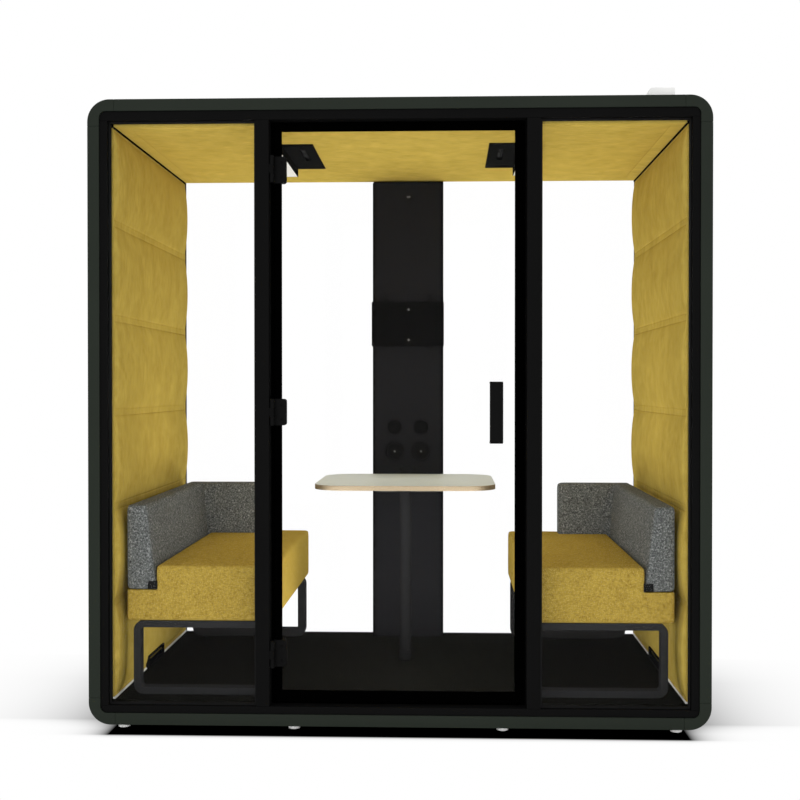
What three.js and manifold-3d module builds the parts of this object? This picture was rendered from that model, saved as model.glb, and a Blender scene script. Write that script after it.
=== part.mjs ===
// Acoustic office pod for four people: a padded cabin with a glass front, a hinged glass door,
// a glass back with a media column, two upholstered benches and a fixed table.
// Millimetres, +Z up, +X to the right and +Y from the door to the back.
// The origin lies on the ground under the middle of the shell.
import * as THREE from "three";
import { mergeVertices } from "three/addons/utils/BufferGeometryUtils.js";
import Module from "manifold-3d";

const wasm = await Module();
wasm.setup();

// Clearance between pieces that touch, how far joined solids run into each other
// and how far a cutter runs past what it cuts
const gap = 0.3;
const lap = 6;
const cutterReach = 1;

// Driving dimensions: shell
const shellWidth = 2230;
const shellDepth = 1400;
const shellHeight = 2250;
const panelThickness = 42;
const cornerOuterRadius = 80;
const cornerInnerRadius = 24;
const cornerLeg = 96;
const shellEdge = 2.5;

// Driving dimensions: levelling feet
const footHeight = 20;
const footRadius = 21.5;
const footRimHeight = 12;
const footEdge = 1.5;
const footNeckRadius = 14;
const footStemRadius = 6;
const footStemInset = 12;
const footFromSide = 115;
const footFromMiddle = 377;
const footFromEnd = 60;

// Driving dimensions: front and back frames
const frameRecess = 6;
const frameDepth = 60;
const stileWidth = 29;
const headHeight = 34;
const sillHeight = 27;
const frameEdge = 1.5;
const mullionWidth = 50;
const doorwayWidth = 922;
const glassThickness = 10;
const grooveDepth = 12;
const paneCorner = 3;

// Driving dimensions: door
const leafThickness = 10;
const leafInset = 8;
const leafCorner = 3;
const leafEdge = 1;
const leafSideGap = 4;
const leafTopGap = 6;
const leafBottomGap = 8;
const leafHingeGap = 16;
const stopWidth = 16;
const stopGap = 2;
const hingeHeight = 96;
const hingeFromTop = 168;
const hingeFromBottom = 177;
const barrelRadius = 8;
const barrelSideGap = 1;
const barrelInset = 2;
const pinRadius = 3;
const pinInset = 2;
const jawThickness = 8;
const jawEdge = 2;
const clampWeb = 5;
const clampReach = 42;
const clampCorner = 10;
const handleWidth = 48;
const handleCentreX = 353;
const handleCentreZ = 1146;
const handleLength = 222;
const handleStandoff = 42;
const handleBar = 8;
const handleBend = 13;
const handleEdge = 1;

// Driving dimensions: floor, wall and ceiling linings
const floorThickness = 34;
const wallPadThickness = 35;
const wallPadLift = 9;
const wallPadCrown = 18;
const wallPadMargin = 14;
const wallChannels = 6;
const channelRise = 0.8;
const padRise = 0.3;
const ceilingPadThickness = 44;
const ceilingPadCrown = 16;
const ceilingPadBorder = 62;

// Driving dimensions: media column and what is on it
const columnWidth = 320;
const columnDepth = 130;
const columnBackInset = 4;
const columnEdge = 2;
const plateWidth = 328;
const plateHeight = 201;
const plateThickness = 20;
const plateAboveTable = 683.5;
const plateCorner = 3;
const plateEdge = 1;
const tabSpacing = 204;
const tabWidth = 26;
const tabHeight = 14;
const tabThickness = 5;
const tabCorner = 5;
const largeOutlet = { radius: 45, wall: 6, depth: 24, rim: 5, dish: 4, boss: 5, aboveTable: 103 };
const smallOutlet = { radius: 33.5, wall: 5.5, depth: 18, rim: 4, dish: 2, boss: 0, aboveTable: 214 };
const outletSpacing = 120;
const outletFlange = 3;
const outletEdge = 1;
const buttonRadius = 11;
const buttonDome = 3;
const buttonTravel = 3;
const buttonCap = 4;
const buttonStemRadius = 7;
const buttonStemLength = 12;
const buttonSpacing = 60;
const buttonAboveTable = 29;

// Driving dimensions: table
const tableWidth = 742;
const tableShift = 5;
const tableDepth = 702;
const tableHeight = 744;
const tableThickness = 20;
const tableCorner = 130;
const tableEdge = 1.5;
const legRadius = 24.5;
const legFromFront = 202;
const legCollarRadius = 27.5;
const legCollarHeight = 45;
const legCollarRound = 8;
const legCollarTaper = 3;
const legPlateRadius = 75;
const legPlateThickness = 6;
const bracketLength = 280;
const bracketLeg = 65;
const bracketThickness = 5;

// Driving dimensions: benches
const benchDepth = 551;
const benchWallGap = 10;
const benchFrontGap = 69;
const benchRearGap = 32;
const seatBottom = 275;
const seatThickness = 205;
const seatRadius = 10;
const seatCrown = 9;
const seatDrawIn = 5;
const backrestSink = 90;
const backrestHeight = 314;
const backrestThickness = 110;
const backrestTopThickness = 75;
const backrestReturn = 328;
const backrestRadius = 14;
const backrestCrown = 5;
const loopInset = 9;
const loopOuterInset = 23;
const loopBar = 26;
const loopDepth = 52;
const loopCorner = 38;
const loopEdge = 2;
const loopFrontSetback = 10;
const loopRearSetback = 10;
const railWidth = 40;
const railInset = 60;

// Driving dimensions: ceiling units with fan and lamp
const unitInnerX = 339;
const unitPlateWidth = 116;
const unitLampWidth = 81;
const unitFrontY = -354;
const unitLength = 522;
const unitPlateDrop = 63;
const unitLampDrop = 96;
const unitEdge = 1;
const lampWall = 3;
const lampThickness = 10;
const slotWidth = 22;
const slotLength = 237;
const slotFromFront = 97;
const slotFromInner = 51;
const slotPlate = 4;
const chamberEndGap = 2;
const rotorRadius = 21;
const rotorClearance = 4;
const rotorEndGap = 4;
const rotorDisc = 3;
const rotorBlades = 14;
const bladeInnerRadius = 14;
const bladeTipInset = 0.5;
const bladeThickness = 1.4;
const bladeSweep = 0.35;
const shaftRadius = 4;
const shaftLength = 10;

// Driving dimensions: junction box on the roof
const roofBoxFromSide = 117;
const roofBoxWidth = 104;
const roofBoxSlant = 16;
const roofBoxDepth = 120;
const roofBoxHeight = 48;
const roofBoxFromFront = 95;
const roofBoxCorner = 4;
const roofBoxEdge = 2;

// Levels and planes that follow from the driving dimensions
const halfWidth = shellWidth / 2;
const halfDepth = shellDepth / 2;
const shellBottom = footHeight;
const shellTop = footHeight + shellHeight;
const innerHalfWidth = halfWidth - panelThickness;
const innerBottom = shellBottom + panelThickness;
const innerTop = shellTop - panelThickness;
const railRoom = Math.min(sillHeight, headHeight) - 2 * frameEdge;
const innerRadius = Math.min(cornerInnerRadius, railRoom);
const frameFront = -halfDepth + frameRecess;
const frameBack = frameFront + frameDepth;
const openingHalfWidth = innerHalfWidth - stileWidth;
const openingBottom = innerBottom + sillHeight;
const openingTop = innerTop - headHeight;
const paneFront = frameFront + frameDepth / 2 - glassThickness / 2;
const doorwayHalf = doorwayWidth / 2;
const mullionOuter = doorwayHalf + mullionWidth;
const leafBack = frameBack - leafInset;
const leafFront = leafBack - leafThickness;
const leafLeft = -doorwayHalf + leafHingeGap;
const leafRight = doorwayHalf - leafSideGap;
const leafBottom = openingBottom + leafBottomGap;
const leafTop = openingTop - leafTopGap;
const hingeX = -doorwayHalf + barrelSideGap + barrelRadius;
const hingeY = frameFront + barrelInset + barrelRadius;
const lowHinge = leafBottom + hingeFromBottom;
const highHinge = leafTop - hingeFromTop;
const hingeHeights = { top: highHinge, middle: (lowHinge + highHinge) / 2, bottom: lowHinge };
const cabinHalfDepth = -frameBack - gap;
const liningHalfWidth = innerHalfWidth - innerRadius - gap;
const floorTop = innerBottom + floorThickness;
const ceilingBottom = innerTop - ceilingPadThickness;
const columnBack = -frameFront - columnBackInset;
const columnFront = columnBack - columnDepth;
const tableTop = floorTop + tableHeight;
const tableBottom = tableTop - tableThickness;
const tableBack = columnFront - gap;
const tableFront = tableBack - tableDepth;
const tableLeft = tableShift - tableWidth / 2;
const benchOuterX = innerHalfWidth - wallPadThickness - wallPadCrown - benchWallGap;
const benchInnerX = benchOuterX - benchDepth;
const benchFrontY = frameBack + benchFrontGap;
const benchBackY = -frameBack - benchRearGap;
const seatTop = seatBottom + seatThickness;
const backrestBottom = seatTop - backrestSink;
const unitBackY = unitFrontY + unitLength;
const slotFrontY = unitFrontY + slotFromFront;
const slotBackY = slotFrontY + slotLength;
const chamberHalf = rotorRadius + rotorClearance;
const rotorX = unitInnerX + slotFromInner;
const rotorZ = innerTop - unitPlateDrop + slotPlate + chamberHalf;

// Finishes
const finish = (color, roughness, metalness = 0, opacity = 1) =>
  new THREE.MeshStandardMaterial({ color, roughness, metalness, opacity, transparent: opacity < 1 });
const finishes = {
  shell: finish(0x262b26, 0.5, 0.1),
  frame: finish(0x141414, 0.45, 0.4),
  glass: finish(0xe8f0ee, 0.05, 0, 0.25),
  fabric: finish(0xb9983f, 0.95),
  felt: finish(0x666866, 0.95),
  carpet: finish(0x191714, 1),
  column: finish(0x212121, 0.55, 0.1),
  laminate: finish(0xb2b6a8, 0.5),
  steel: finish(0x2d2d2f, 0.5, 0.4),
  plastic: finish(0x161616, 0.4),
  diffuser: finish(0xf0f0ee, 0.6),
  pale: finish(0xe6e6e4, 0.5),
};

// Solids from geometry, and geometry from solids

function weld(geometry) {
  const bare = geometry.clone();
  bare.deleteAttribute("normal");
  bare.deleteAttribute("uv");
  return mergeVertices(bare, 1e-4);
}

function solid(geometry) {
  const welded = weld(geometry);
  return new wasm.Manifold(
    new wasm.Mesh({
      numProp: 3,
      vertProperties: new Float32Array(welded.attributes.position.array),
      triVerts: new Uint32Array(welded.index.array),
    }),
  );
}

function geometryOf(made) {
  const mesh = made.getMesh();
  const geometry = new THREE.BufferGeometry();
  geometry.setAttribute("position", new THREE.BufferAttribute(mesh.vertProperties, 3));
  geometry.setIndex(new THREE.BufferAttribute(mesh.triVerts, 1));
  return geometry;
}

function joined(first, ...others) {
  return geometryOf(others.reduce((sum, other) => sum.add(solid(other)), solid(first)));
}

function cut(first, ...tools) {
  return geometryOf(tools.reduce((rest, tool) => rest.subtract(solid(tool)), solid(first)));
}

function common(first, second) {
  return geometryOf(solid(first).intersect(solid(second)));
}

// Outlines: a polygon whose corners are [x, y, radius], the radius being optional

function filleted(corners, arcSteps = 4) {
  const outline = [];
  corners.forEach(([x, y, radius = 0], index) => {
    const here = new THREE.Vector2(x, y);
    const [lastX, lastY] = corners.at(index - 1);
    const [nextX, nextY] = corners[(index + 1) % corners.length];
    const back = new THREE.Vector2(lastX, lastY).sub(here).normalize();
    const ahead = new THREE.Vector2(nextX, nextY).sub(here).normalize();
    if (radius === 0) {
      outline.push(here);
      return;
    }
    const half = Math.acos(back.dot(ahead)) / 2;
    const bisector = back.clone().add(ahead).normalize();
    const centre = here.clone().addScaledVector(bisector, radius / Math.sin(half));
    const start = here.clone().addScaledVector(back, radius / Math.tan(half)).sub(centre);
    const turn = (Math.PI - 2 * half) * (back.cross(ahead) > 0 ? -1 : 1);
    for (let step = 0; step <= arcSteps; step += 1) {
      const spoke = start.clone().rotateAround(new THREE.Vector2(), (turn * step) / arcSteps);
      outline.push(centre.clone().add(spoke));
    }
  });
  return outline.filter((point, index) => point.distanceTo(outline.at(index - 1)) > 1e-6);
}

function rectangle(x0, x1, y0, y1, radius = 0) {
  const left = Math.min(x0, x1);
  const right = Math.max(x0, x1);
  return [
    [left, y0, radius],
    [right, y0, radius],
    [right, y1, radius],
    [left, y1, radius],
  ];
}

function shapeOf(corners, holes = [], arcSteps = 4) {
  const shape = new THREE.Shape(filleted(corners, arcSteps));
  holes.forEach((hole) => shape.holes.push(new THREE.Path(filleted(hole, arcSteps))));
  return shape;
}

// An extrusion from low to high, whose end edges are rounded by edge
function extrusion(shape, low, high, edge = 0) {
  const geometry = new THREE.ExtrudeGeometry(shape, {
    depth: high - low - 2 * edge,
    curveSegments: 24,
    bevelEnabled: edge > 0,
    bevelThickness: edge,
    bevelSize: edge,
    bevelOffset: -edge,
    bevelSegments: 1,
  });
  return geometry.translate(0, 0, low + edge);
}

const alongX = new THREE.Matrix4().set(0, 0, 1, 0, 1, 0, 0, 0, 0, 1, 0, 0, 0, 0, 0, 1);

// Extrusions along Z from a plan, along Y from a front view and along X from a side view
const upward = (shape, z0, z1, edge) => extrusion(shape, z0, z1, edge);
const inward = (shape, y0, y1, edge) => extrusion(shape, -y1, -y0, edge).rotateX(Math.PI / 2);
const across = (shape, x0, x1, edge) => extrusion(shape, x0, x1, edge).applyMatrix4(alongX);

function box(x0, x1, y0, y1, z0, z1) {
  const geometry = new THREE.BoxGeometry(Math.abs(x1 - x0), y1 - y0, z1 - z0);
  return geometry.translate((x0 + x1) / 2, (y0 + y1) / 2, (z0 + z1) / 2);
}

// A turned piece: points are [radius, height], and the axis runs up from the origin
function turned(points, facets) {
  const profile = points.map(([radius, height]) => new THREE.Vector2(radius, height));
  return new THREE.LatheGeometry(profile, facets).rotateX(Math.PI / 2);
}

// The same piece with its axis pointing out of the column, towards the door
const facingDoor = (geometry, x, y, z) => geometry.rotateX(Math.PI / 2).translate(x, y, z);

function cylinder(radius, facets, x, y, z0, z1) {
  const geometry = new THREE.CylinderGeometry(radius, radius, z1 - z0, facets);
  return geometry.rotateX(Math.PI / 2).translate(x, y, (z0 + z1) / 2);
}

// Padded pieces

// A box of cells whose corners are rounded; shape then moves each point by its place from -1 to 1
function cushion(low, high, radius, cells, shape) {
  const geometry = weld(new THREE.BoxGeometry(2, 2, 2, ...cells));
  const position = geometry.attributes.position;
  const centre = low.clone().add(high).multiplyScalar(0.5);
  const half = high.clone().sub(low).multiplyScalar(0.5);
  const core = half.clone().subScalar(radius);
  const point = new THREE.Vector3();
  const crowd = (value) => Math.sin((value * Math.PI) / 2);
  for (let index = 0; index < position.count; index += 1) {
    point.fromBufferAttribute(position, index);
    const place = new THREE.Vector3(crowd(point.x), crowd(point.y), crowd(point.z));
    point.copy(place).multiply(half);
    const inner = point.clone().clamp(core.clone().negate(), core);
    const spoke = point.clone().sub(inner);
    point.copy(inner).addScaledVector(spoke.normalize(), radius);
    shape(point, place);
    point.add(centre);
    position.setXYZ(index, point.x, point.y, point.z);
  }
  return geometry;
}

// One grid line of a padded slab, from -1 to 1; the outermost cells are as wide as the flat border
function gridLine(value, cells, border) {
  const index = Math.round(((value + 1) / 2) * cells);
  if (border === 0 || index === 0 || index === cells) return value;
  return (1 - border) * ((2 * (index - 1)) / (cells - 2) - 1);
}

// A slab from z = 0 to thickness, centred on X and Y. Inside its flat borders the top rises by
// crown(u, v), with u and v from -1 to 1 across the field.
function paddedSlab(length, width, thickness, cells, borders, crown) {
  const geometry = weld(new THREE.BoxGeometry(2, 2, thickness, cells[0], cells[1], 1));
  const position = geometry.attributes.position;
  const flatU = (2 * borders[0]) / length;
  const flatV = (2 * borders[1]) / width;
  for (let index = 0; index < position.count; index += 1) {
    const u = gridLine(position.getX(index), cells[0], flatU);
    const v = gridLine(position.getY(index), cells[1], flatV);
    const z = position.getZ(index) + thickness / 2;
    const rise = z > thickness / 2 ? crown(u / (1 - flatU), v / (1 - flatV)) : 0;
    position.setXYZ(index, (u * length) / 2, (v * width) / 2, z + rise);
  }
  return geometry;
}

// A smooth rise from nothing at share 1 and beyond to the full height inside the margin
function swell(share, margin) {
  const inside = THREE.MathUtils.clamp((1 - Math.abs(share)) / margin, 0, 1);
  return Math.sqrt(1 - (1 - inside) ** 2);
}

const pod = new THREE.Group();
pod.name = "acoustic_pod";

function add(name, geometry, material) {
  const mesh = new THREE.Mesh(geometry, material);
  mesh.name = name;
  pod.add(mesh);
}

const sides = [
  ["left", -1],
  ["right", 1],
];

// Shell: four panels between four rounded corner profiles

function cornerProfile(side, top) {
  const place = (fromSide, fromEnd, radius) => [
    side * (halfWidth - fromSide),
    top ? shellTop - fromEnd : shellBottom + fromEnd,
    radius,
  ];
  const corners = [
    place(cornerLeg, 0),
    place(0, 0, cornerOuterRadius),
    place(0, cornerLeg),
    place(panelThickness, cornerLeg),
    place(panelThickness, panelThickness, innerRadius),
    place(cornerLeg, panelThickness),
  ];
  return inward(shapeOf(corners, [], 8), -halfDepth, halfDepth, shellEdge);
}

const footPlaces = [];
for (const [row, y] of [
  ["front", -halfDepth + footFromEnd],
  ["back", halfDepth - footFromEnd],
]) {
  const outerX = halfWidth - footFromSide;
  [-outerX, -footFromMiddle, footFromMiddle, outerX].forEach((x, index) => {
    footPlaces.push({ name: `foot_${row}_${index + 1}`, x, y });
  });
}

function shell() {
  const flatHalf = halfWidth - cornerLeg - gap;
  const wallBottom = shellBottom + cornerLeg + gap;
  const wallTop = shellTop - cornerLeg - gap;
  for (const [word, side] of sides) {
    const wall = shapeOf(rectangle(side * innerHalfWidth, side * halfWidth, wallBottom, wallTop));
    add(`wall_panel_${word}`, inward(wall, -halfDepth, halfDepth, shellEdge), finishes.shell);
    add(`corner_profile_top_${word}`, cornerProfile(side, true), finishes.shell);
    add(`corner_profile_bottom_${word}`, cornerProfile(side, false), finishes.shell);
  }
  const roof = shapeOf(rectangle(-flatHalf, flatHalf, innerTop, shellTop));
  add("roof_panel", inward(roof, -halfDepth, halfDepth, shellEdge), finishes.shell);
  const base = inward(
    shapeOf(rectangle(-flatHalf, flatHalf, shellBottom, innerBottom)),
    -halfDepth,
    halfDepth,
    shellEdge,
  );
  const stemHoles = footPlaces.map(({ x, y }) =>
    cylinder(footStemRadius + gap, 12, x, y, shellBottom - cutterReach, innerBottom + cutterReach),
  );
  add("base_panel", cut(base, ...stemHoles), finishes.shell);
}

function feet() {
  const neckZ = footHeight - gap;
  const stemTop = innerBottom - footStemInset;
  const profile = [
    [0, 0],
    [footRadius - footEdge, 0],
    [footRadius, footEdge],
    [footRadius, footRimHeight],
    [footNeckRadius, neckZ],
    [footStemRadius, neckZ],
    [footStemRadius, stemTop],
    [0, stemTop],
  ];
  footPlaces.forEach(({ name, x, y }) => {
    add(name, turned(profile, 12).translate(x, y, 0), finishes.pale);
  });
}

// Front and back frames with glass in grooves

const frameHalfWidth = innerHalfWidth - gap;
const frameBottom = innerBottom + gap;
const frameTop = innerTop - gap;
const frameCorner = innerRadius - gap;

// The space that a pane's edges take up in the frame around it
function paneGroove(x0, x1, y0) {
  const reach = grooveDepth;
  return box(
    x0 - reach,
    x1 + reach,
    y0 - gap,
    y0 + glassThickness + gap,
    openingBottom - reach,
    openingTop + reach,
  );
}

function pane(x0, x1, y0) {
  const reach = grooveDepth - gap;
  const bottom = openingBottom - reach;
  const top = openingTop + reach;
  const outline = rectangle(x0 - reach, x1 + reach, bottom, top, paneCorner);
  return inward(shapeOf(outline, [], 2), y0, y0 + glassThickness);
}

// The fixed half of a hinge: a knuckle as tall as a third of the hinge, with the pin through it
function hingeKnuckle(z) {
  const rootX = -doorwayHalf - lap;
  const lug = [
    [rootX, hingeY - barrelRadius],
    [hingeX + barrelRadius, hingeY - barrelRadius, barrelRadius],
    [hingeX + barrelRadius, hingeY + barrelRadius, barrelRadius],
    [rootX, hingeY + barrelRadius],
  ];
  const knuckleHalf = hingeHeight / 6 - gap;
  const knuckle = upward(shapeOf(lug), z - knuckleHalf, z + knuckleHalf);
  const pinHalf = hingeHeight / 2 - pinInset;
  return joined(knuckle, cylinder(pinRadius, 12, hingeX, hingeY, z - pinHalf, z + pinHalf));
}

function mullion(side) {
  const inner = side * doorwayHalf;
  const outer = side * mullionOuter;
  const groove = side * (mullionOuter - grooveDepth);
  const bottom = openingBottom + gap;
  const top = openingTop - gap;
  const stop =
    side > 0
      ? [
          [inner - stopWidth, frameBack],
          [inner - stopWidth, leafBack + stopGap],
          [inner, leafBack + stopGap],
        ]
      : [[inner, frameBack]];
  const plan = [
    [inner, frameFront, frameEdge],
    [outer, frameFront, frameEdge],
    [outer, paneFront - gap],
    [groove, paneFront - gap],
    [groove, paneFront + glassThickness + gap],
    [outer, paneFront + glassThickness + gap],
    [outer, frameBack],
    ...stop,
  ];
  const post = upward(shapeOf(plan, [], 2), bottom, top);
  return side < 0 ? joined(post, ...Object.values(hingeHeights).map(hingeKnuckle)) : post;
}

function stile(side) {
  const inner = side * openingHalfWidth;
  const outer = side * frameHalfWidth;
  const groove = side * (openingHalfWidth + grooveDepth);
  const plan = [
    [outer, frameFront, frameEdge],
    [inner, frameFront, frameEdge],
    [inner, paneFront - gap],
    [groove, paneFront - gap],
    [groove, paneFront + glassThickness + gap],
    [inner, paneFront + glassThickness + gap],
    [inner, frameBack],
    [outer, frameBack],
  ];
  return upward(shapeOf(plan, [], 2), openingBottom + gap, openingTop - gap);
}

function frontFrame() {
  const grooves = sides.map(([, side]) => {
    const [x0, x1] = [side * mullionOuter, side * openingHalfWidth].sort((a, b) => a - b);
    return paneGroove(x0, x1, paneFront);
  });
  const head = [
    [-frameHalfWidth, openingTop],
    [frameHalfWidth, openingTop],
    [frameHalfWidth, frameTop, frameCorner],
    [-frameHalfWidth, frameTop, frameCorner],
  ];
  const sill = [
    [-frameHalfWidth, frameBottom, frameCorner],
    [frameHalfWidth, frameBottom, frameCorner],
    [frameHalfWidth, openingBottom],
    [-frameHalfWidth, openingBottom],
  ];
  const bar = (outline) => inward(shapeOf(outline), frameFront, frameBack, frameEdge);
  add("front_head_rail", cut(bar(head), ...grooves), finishes.frame);
  add("front_sill", cut(bar(sill), ...grooves), finishes.frame);
  for (const [word, side] of sides) {
    const [x0, x1] = [side * mullionOuter, side * openingHalfWidth].sort((a, b) => a - b);
    add(`front_stile_${word}`, stile(side), finishes.frame);
    add(`mullion_${word}`, mullion(side), finishes.frame);
    add(`front_glass_${word}`, pane(x0, x1, paneFront), finishes.glass);
  }
}

// The back panes stand between the frame ring and the media column
const backPaneFront = -paneFront - glassThickness;
const columnHalf = columnWidth / 2;
const backGrooves = [
  paneGroove(-openingHalfWidth, -columnHalf, backPaneFront),
  paneGroove(columnHalf, openingHalfWidth, backPaneFront),
];

function backFrame() {
  const ring = shapeOf(
    rectangle(-frameHalfWidth, frameHalfWidth, frameBottom, frameTop, frameCorner),
    [rectangle(-openingHalfWidth, openingHalfWidth, openingBottom, openingTop)],
  );
  const bars = inward(ring, -frameBack, -frameFront, frameEdge);
  add("back_frame", cut(bars, ...backGrooves), finishes.frame);
  add("back_glass_left", pane(-openingHalfWidth, -columnHalf, backPaneFront), finishes.glass);
  add("back_glass_right", pane(columnHalf, openingHalfWidth, backPaneFront), finishes.glass);
}

// Door: a glass leaf carried by three clamps that turn on the mullion's pins

function hingeClamp(z) {
  const z0 = z - hingeHeight / 2;
  const z1 = z + hingeHeight / 2;
  const third = hingeHeight / 3;
  const webX = leafLeft - clampWeb;
  const endX = leafLeft + clampReach;
  const jaws = [
    [webX, leafFront - gap - jawThickness, jawEdge],
    [endX, leafFront - gap - jawThickness, jawEdge],
    [endX, leafFront - gap],
    [leafLeft - gap, leafFront - gap],
    [leafLeft - gap, leafBack + gap],
    [endX, leafBack + gap],
    [endX, leafBack + gap + jawThickness, jawEdge],
    [webX, leafBack + gap + jawThickness, jawEdge],
  ];
  const arm = [
    [hingeX - barrelRadius, hingeY - barrelRadius, barrelRadius],
    [hingeX + barrelRadius, hingeY - barrelRadius, barrelRadius],
    [hingeX + barrelRadius, leafFront - gap - jawThickness / 2],
    [hingeX - barrelRadius, leafFront - gap - jawThickness / 2],
  ];
  const body = joined(
    upward(shapeOf(jaws, [], 2), z0, z1),
    upward(shapeOf(arm), z0, z0 + third - gap),
    upward(shapeOf(arm), z1 - third + gap, z1),
  );
  const front = [
    [hingeX - 2 * barrelRadius, z0],
    [endX, z0, clampCorner],
    [endX, z1, clampCorner],
    [hingeX - 2 * barrelRadius, z1],
  ];
  const mask = inward(shapeOf(front), hingeY - 2 * barrelRadius, leafBack + 2 * jawThickness);
  const rounded = common(body, mask);
  const bore = cylinder(pinRadius + gap, 12, hingeX, hingeY, z0 - cutterReach, z1 + cutterReach);
  return cut(rounded, bore);
}

function handle() {
  const glassY = leafFront - gap;
  const frontY = leafFront - handleStandoff;
  const z0 = handleCentreZ - handleLength / 2;
  const z1 = handleCentreZ + handleLength / 2;
  const bend = handleBend - handleBar;
  const profile = [
    [glassY, z0],
    [frontY, z0, handleBend],
    [frontY, z1, handleBend],
    [glassY, z1],
    [glassY, z1 - handleBar],
    [frontY + handleBar, z1 - handleBar, bend],
    [frontY + handleBar, z0 + handleBar, bend],
    [glassY, z0 + handleBar],
  ];
  const left = handleCentreX - handleWidth / 2;
  return across(shapeOf(profile), left, left + handleWidth, handleEdge);
}

function door() {
  const outline = rectangle(leafLeft, leafRight, leafBottom, leafTop, leafCorner);
  const leaf = inward(shapeOf(outline, [], 2), leafFront, leafBack, leafEdge);
  add("door_glass", leaf, finishes.glass);
  for (const [word, z] of Object.entries(hingeHeights)) {
    add(`hinge_clamp_${word}`, hingeClamp(z), finishes.frame);
  }
  add("door_handle", handle(), finishes.frame);
}

// Linings: raised floor with carpet, channelled wall pads and a ceiling pad

function linings() {
  const carpet = box(
    -liningHalfWidth,
    liningHalfWidth,
    -cabinHalfDepth,
    cabinHalfDepth,
    innerBottom + gap,
    floorTop,
  );
  add("carpet_floor", carpet, finishes.carpet);

  const padBottom = floorTop + wallPadLift;
  const padHeight = ceilingBottom - gap - padBottom;
  const padLength = 2 * cabinHalfDepth;
  const channelCrown = (u, v) => {
    const along = ((u + 1) / 2) * wallChannels;
    const inChannel = 2 * (along - Math.floor(along)) - 1;
    return wallPadCrown * swell(inChannel, channelRise) * swell(v, padRise);
  };
  for (const [word, side] of sides) {
    const pad = paddedSlab(
      padHeight,
      padLength,
      wallPadThickness - gap,
      [4 * wallChannels, 8],
      [0, wallPadMargin],
      channelCrown,
    );
    pad.rotateY((side * -Math.PI) / 2);
    pad.translate(side * (innerHalfWidth - gap), 0, padBottom + padHeight / 2);
    add(`wall_pad_${word}`, pad, finishes.fabric);
  }

  const ceilingCrown = (u, v) => ceilingPadCrown * swell(u, padRise) * swell(v, padRise);
  const ceiling = paddedSlab(
    2 * liningHalfWidth,
    padLength,
    ceilingPadThickness - gap,
    [12, 8],
    [ceilingPadBorder, wallPadMargin],
    ceilingCrown,
  );
  ceiling.rotateX(Math.PI).translate(0, 0, innerTop - gap);
  const cutOuts = sides.map(([, side]) => {
    const inner = side * (unitInnerX - gap);
    const outer = side * (unitInnerX + unitPlateWidth + unitLampWidth + gap);
    const low = ceilingBottom - ceilingPadCrown - cutterReach;
    return box(inner, outer, unitFrontY - gap, unitBackY + gap, low, innerTop + cutterReach);
  });
  add("ceiling_pad", cut(ceiling, ...cutOuts), finishes.fabric);
}

// Media column with its plate, outlets and buttons

// A round outlet: a body in its pocket, a flange with a rim, and a dished face with a small boss or none
function outlet({ radius, wall, depth, rim, dish, boss }) {
  const face = outletFlange - dish;
  return [
    [0, -depth],
    [radius - wall - gap, -depth],
    [radius - wall - gap, gap],
    [radius, gap],
    [radius, outletFlange - outletEdge],
    [radius - outletEdge, outletFlange],
    [radius - rim, outletFlange],
    [radius - rim - dish, face],
    ...(boss ? [[boss, face]] : []),
    [0, face + boss / 2],
  ];
}

const buttonHeight = tableTop + buttonAboveTable;

function column() {
  const shaftTop = ceilingBottom - ceilingPadCrown - gap;
  const front = rectangle(-columnHalf, columnHalf, floorTop + gap, shaftTop);
  const shaft = inward(shapeOf(front), columnFront, -frameBack + lap, columnEdge);
  const post = box(
    -columnHalf,
    columnHalf,
    -frameBack + gap,
    columnBack,
    openingBottom + gap,
    openingTop - gap,
  );
  const pockets = [];
  for (const [, side] of sides) {
    for (const kind of [largeOutlet, smallOutlet]) {
      const pocket = cylinder(kind.radius - kind.wall, 18, 0, 0, -kind.depth - gap, cutterReach);
      const height = tableTop + kind.aboveTable;
      pockets.push(facingDoor(pocket, (side * outletSpacing) / 2, columnFront, height));
    }
    const deep = buttonStemLength + buttonTravel + gap;
    const bore = cylinder(buttonStemRadius + gap, 12, 0, 0, -deep, cutterReach);
    pockets.push(facingDoor(bore, (side * buttonSpacing) / 2, columnFront, buttonHeight));
  }
  add("media_column", cut(joined(shaft, post), ...backGrooves, ...pockets), finishes.column);
}

function screenPlate() {
  const back = columnFront - gap;
  const middle = tableTop + plateAboveTable;
  const z0 = middle - plateHeight / 2;
  const z1 = middle + plateHeight / 2;
  const face = shapeOf(rectangle(-plateWidth / 2, plateWidth / 2, z0, z1, plateCorner), [], 2);
  const body = inward(face, back - plateThickness, back, plateEdge);
  const tabs = [];
  for (const [, side] of sides) {
    const x = (side * tabSpacing) / 2;
    const low = z0 - tabHeight;
    const high = z1 + tabHeight;
    const outline = rectangle(x - tabWidth / 2, x + tabWidth / 2, low, high, tabCorner);
    tabs.push(inward(shapeOf(outline, [], 2), back - tabThickness, back));
  }
  add("screen_plate", joined(body, ...tabs), finishes.plastic);
}

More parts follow.
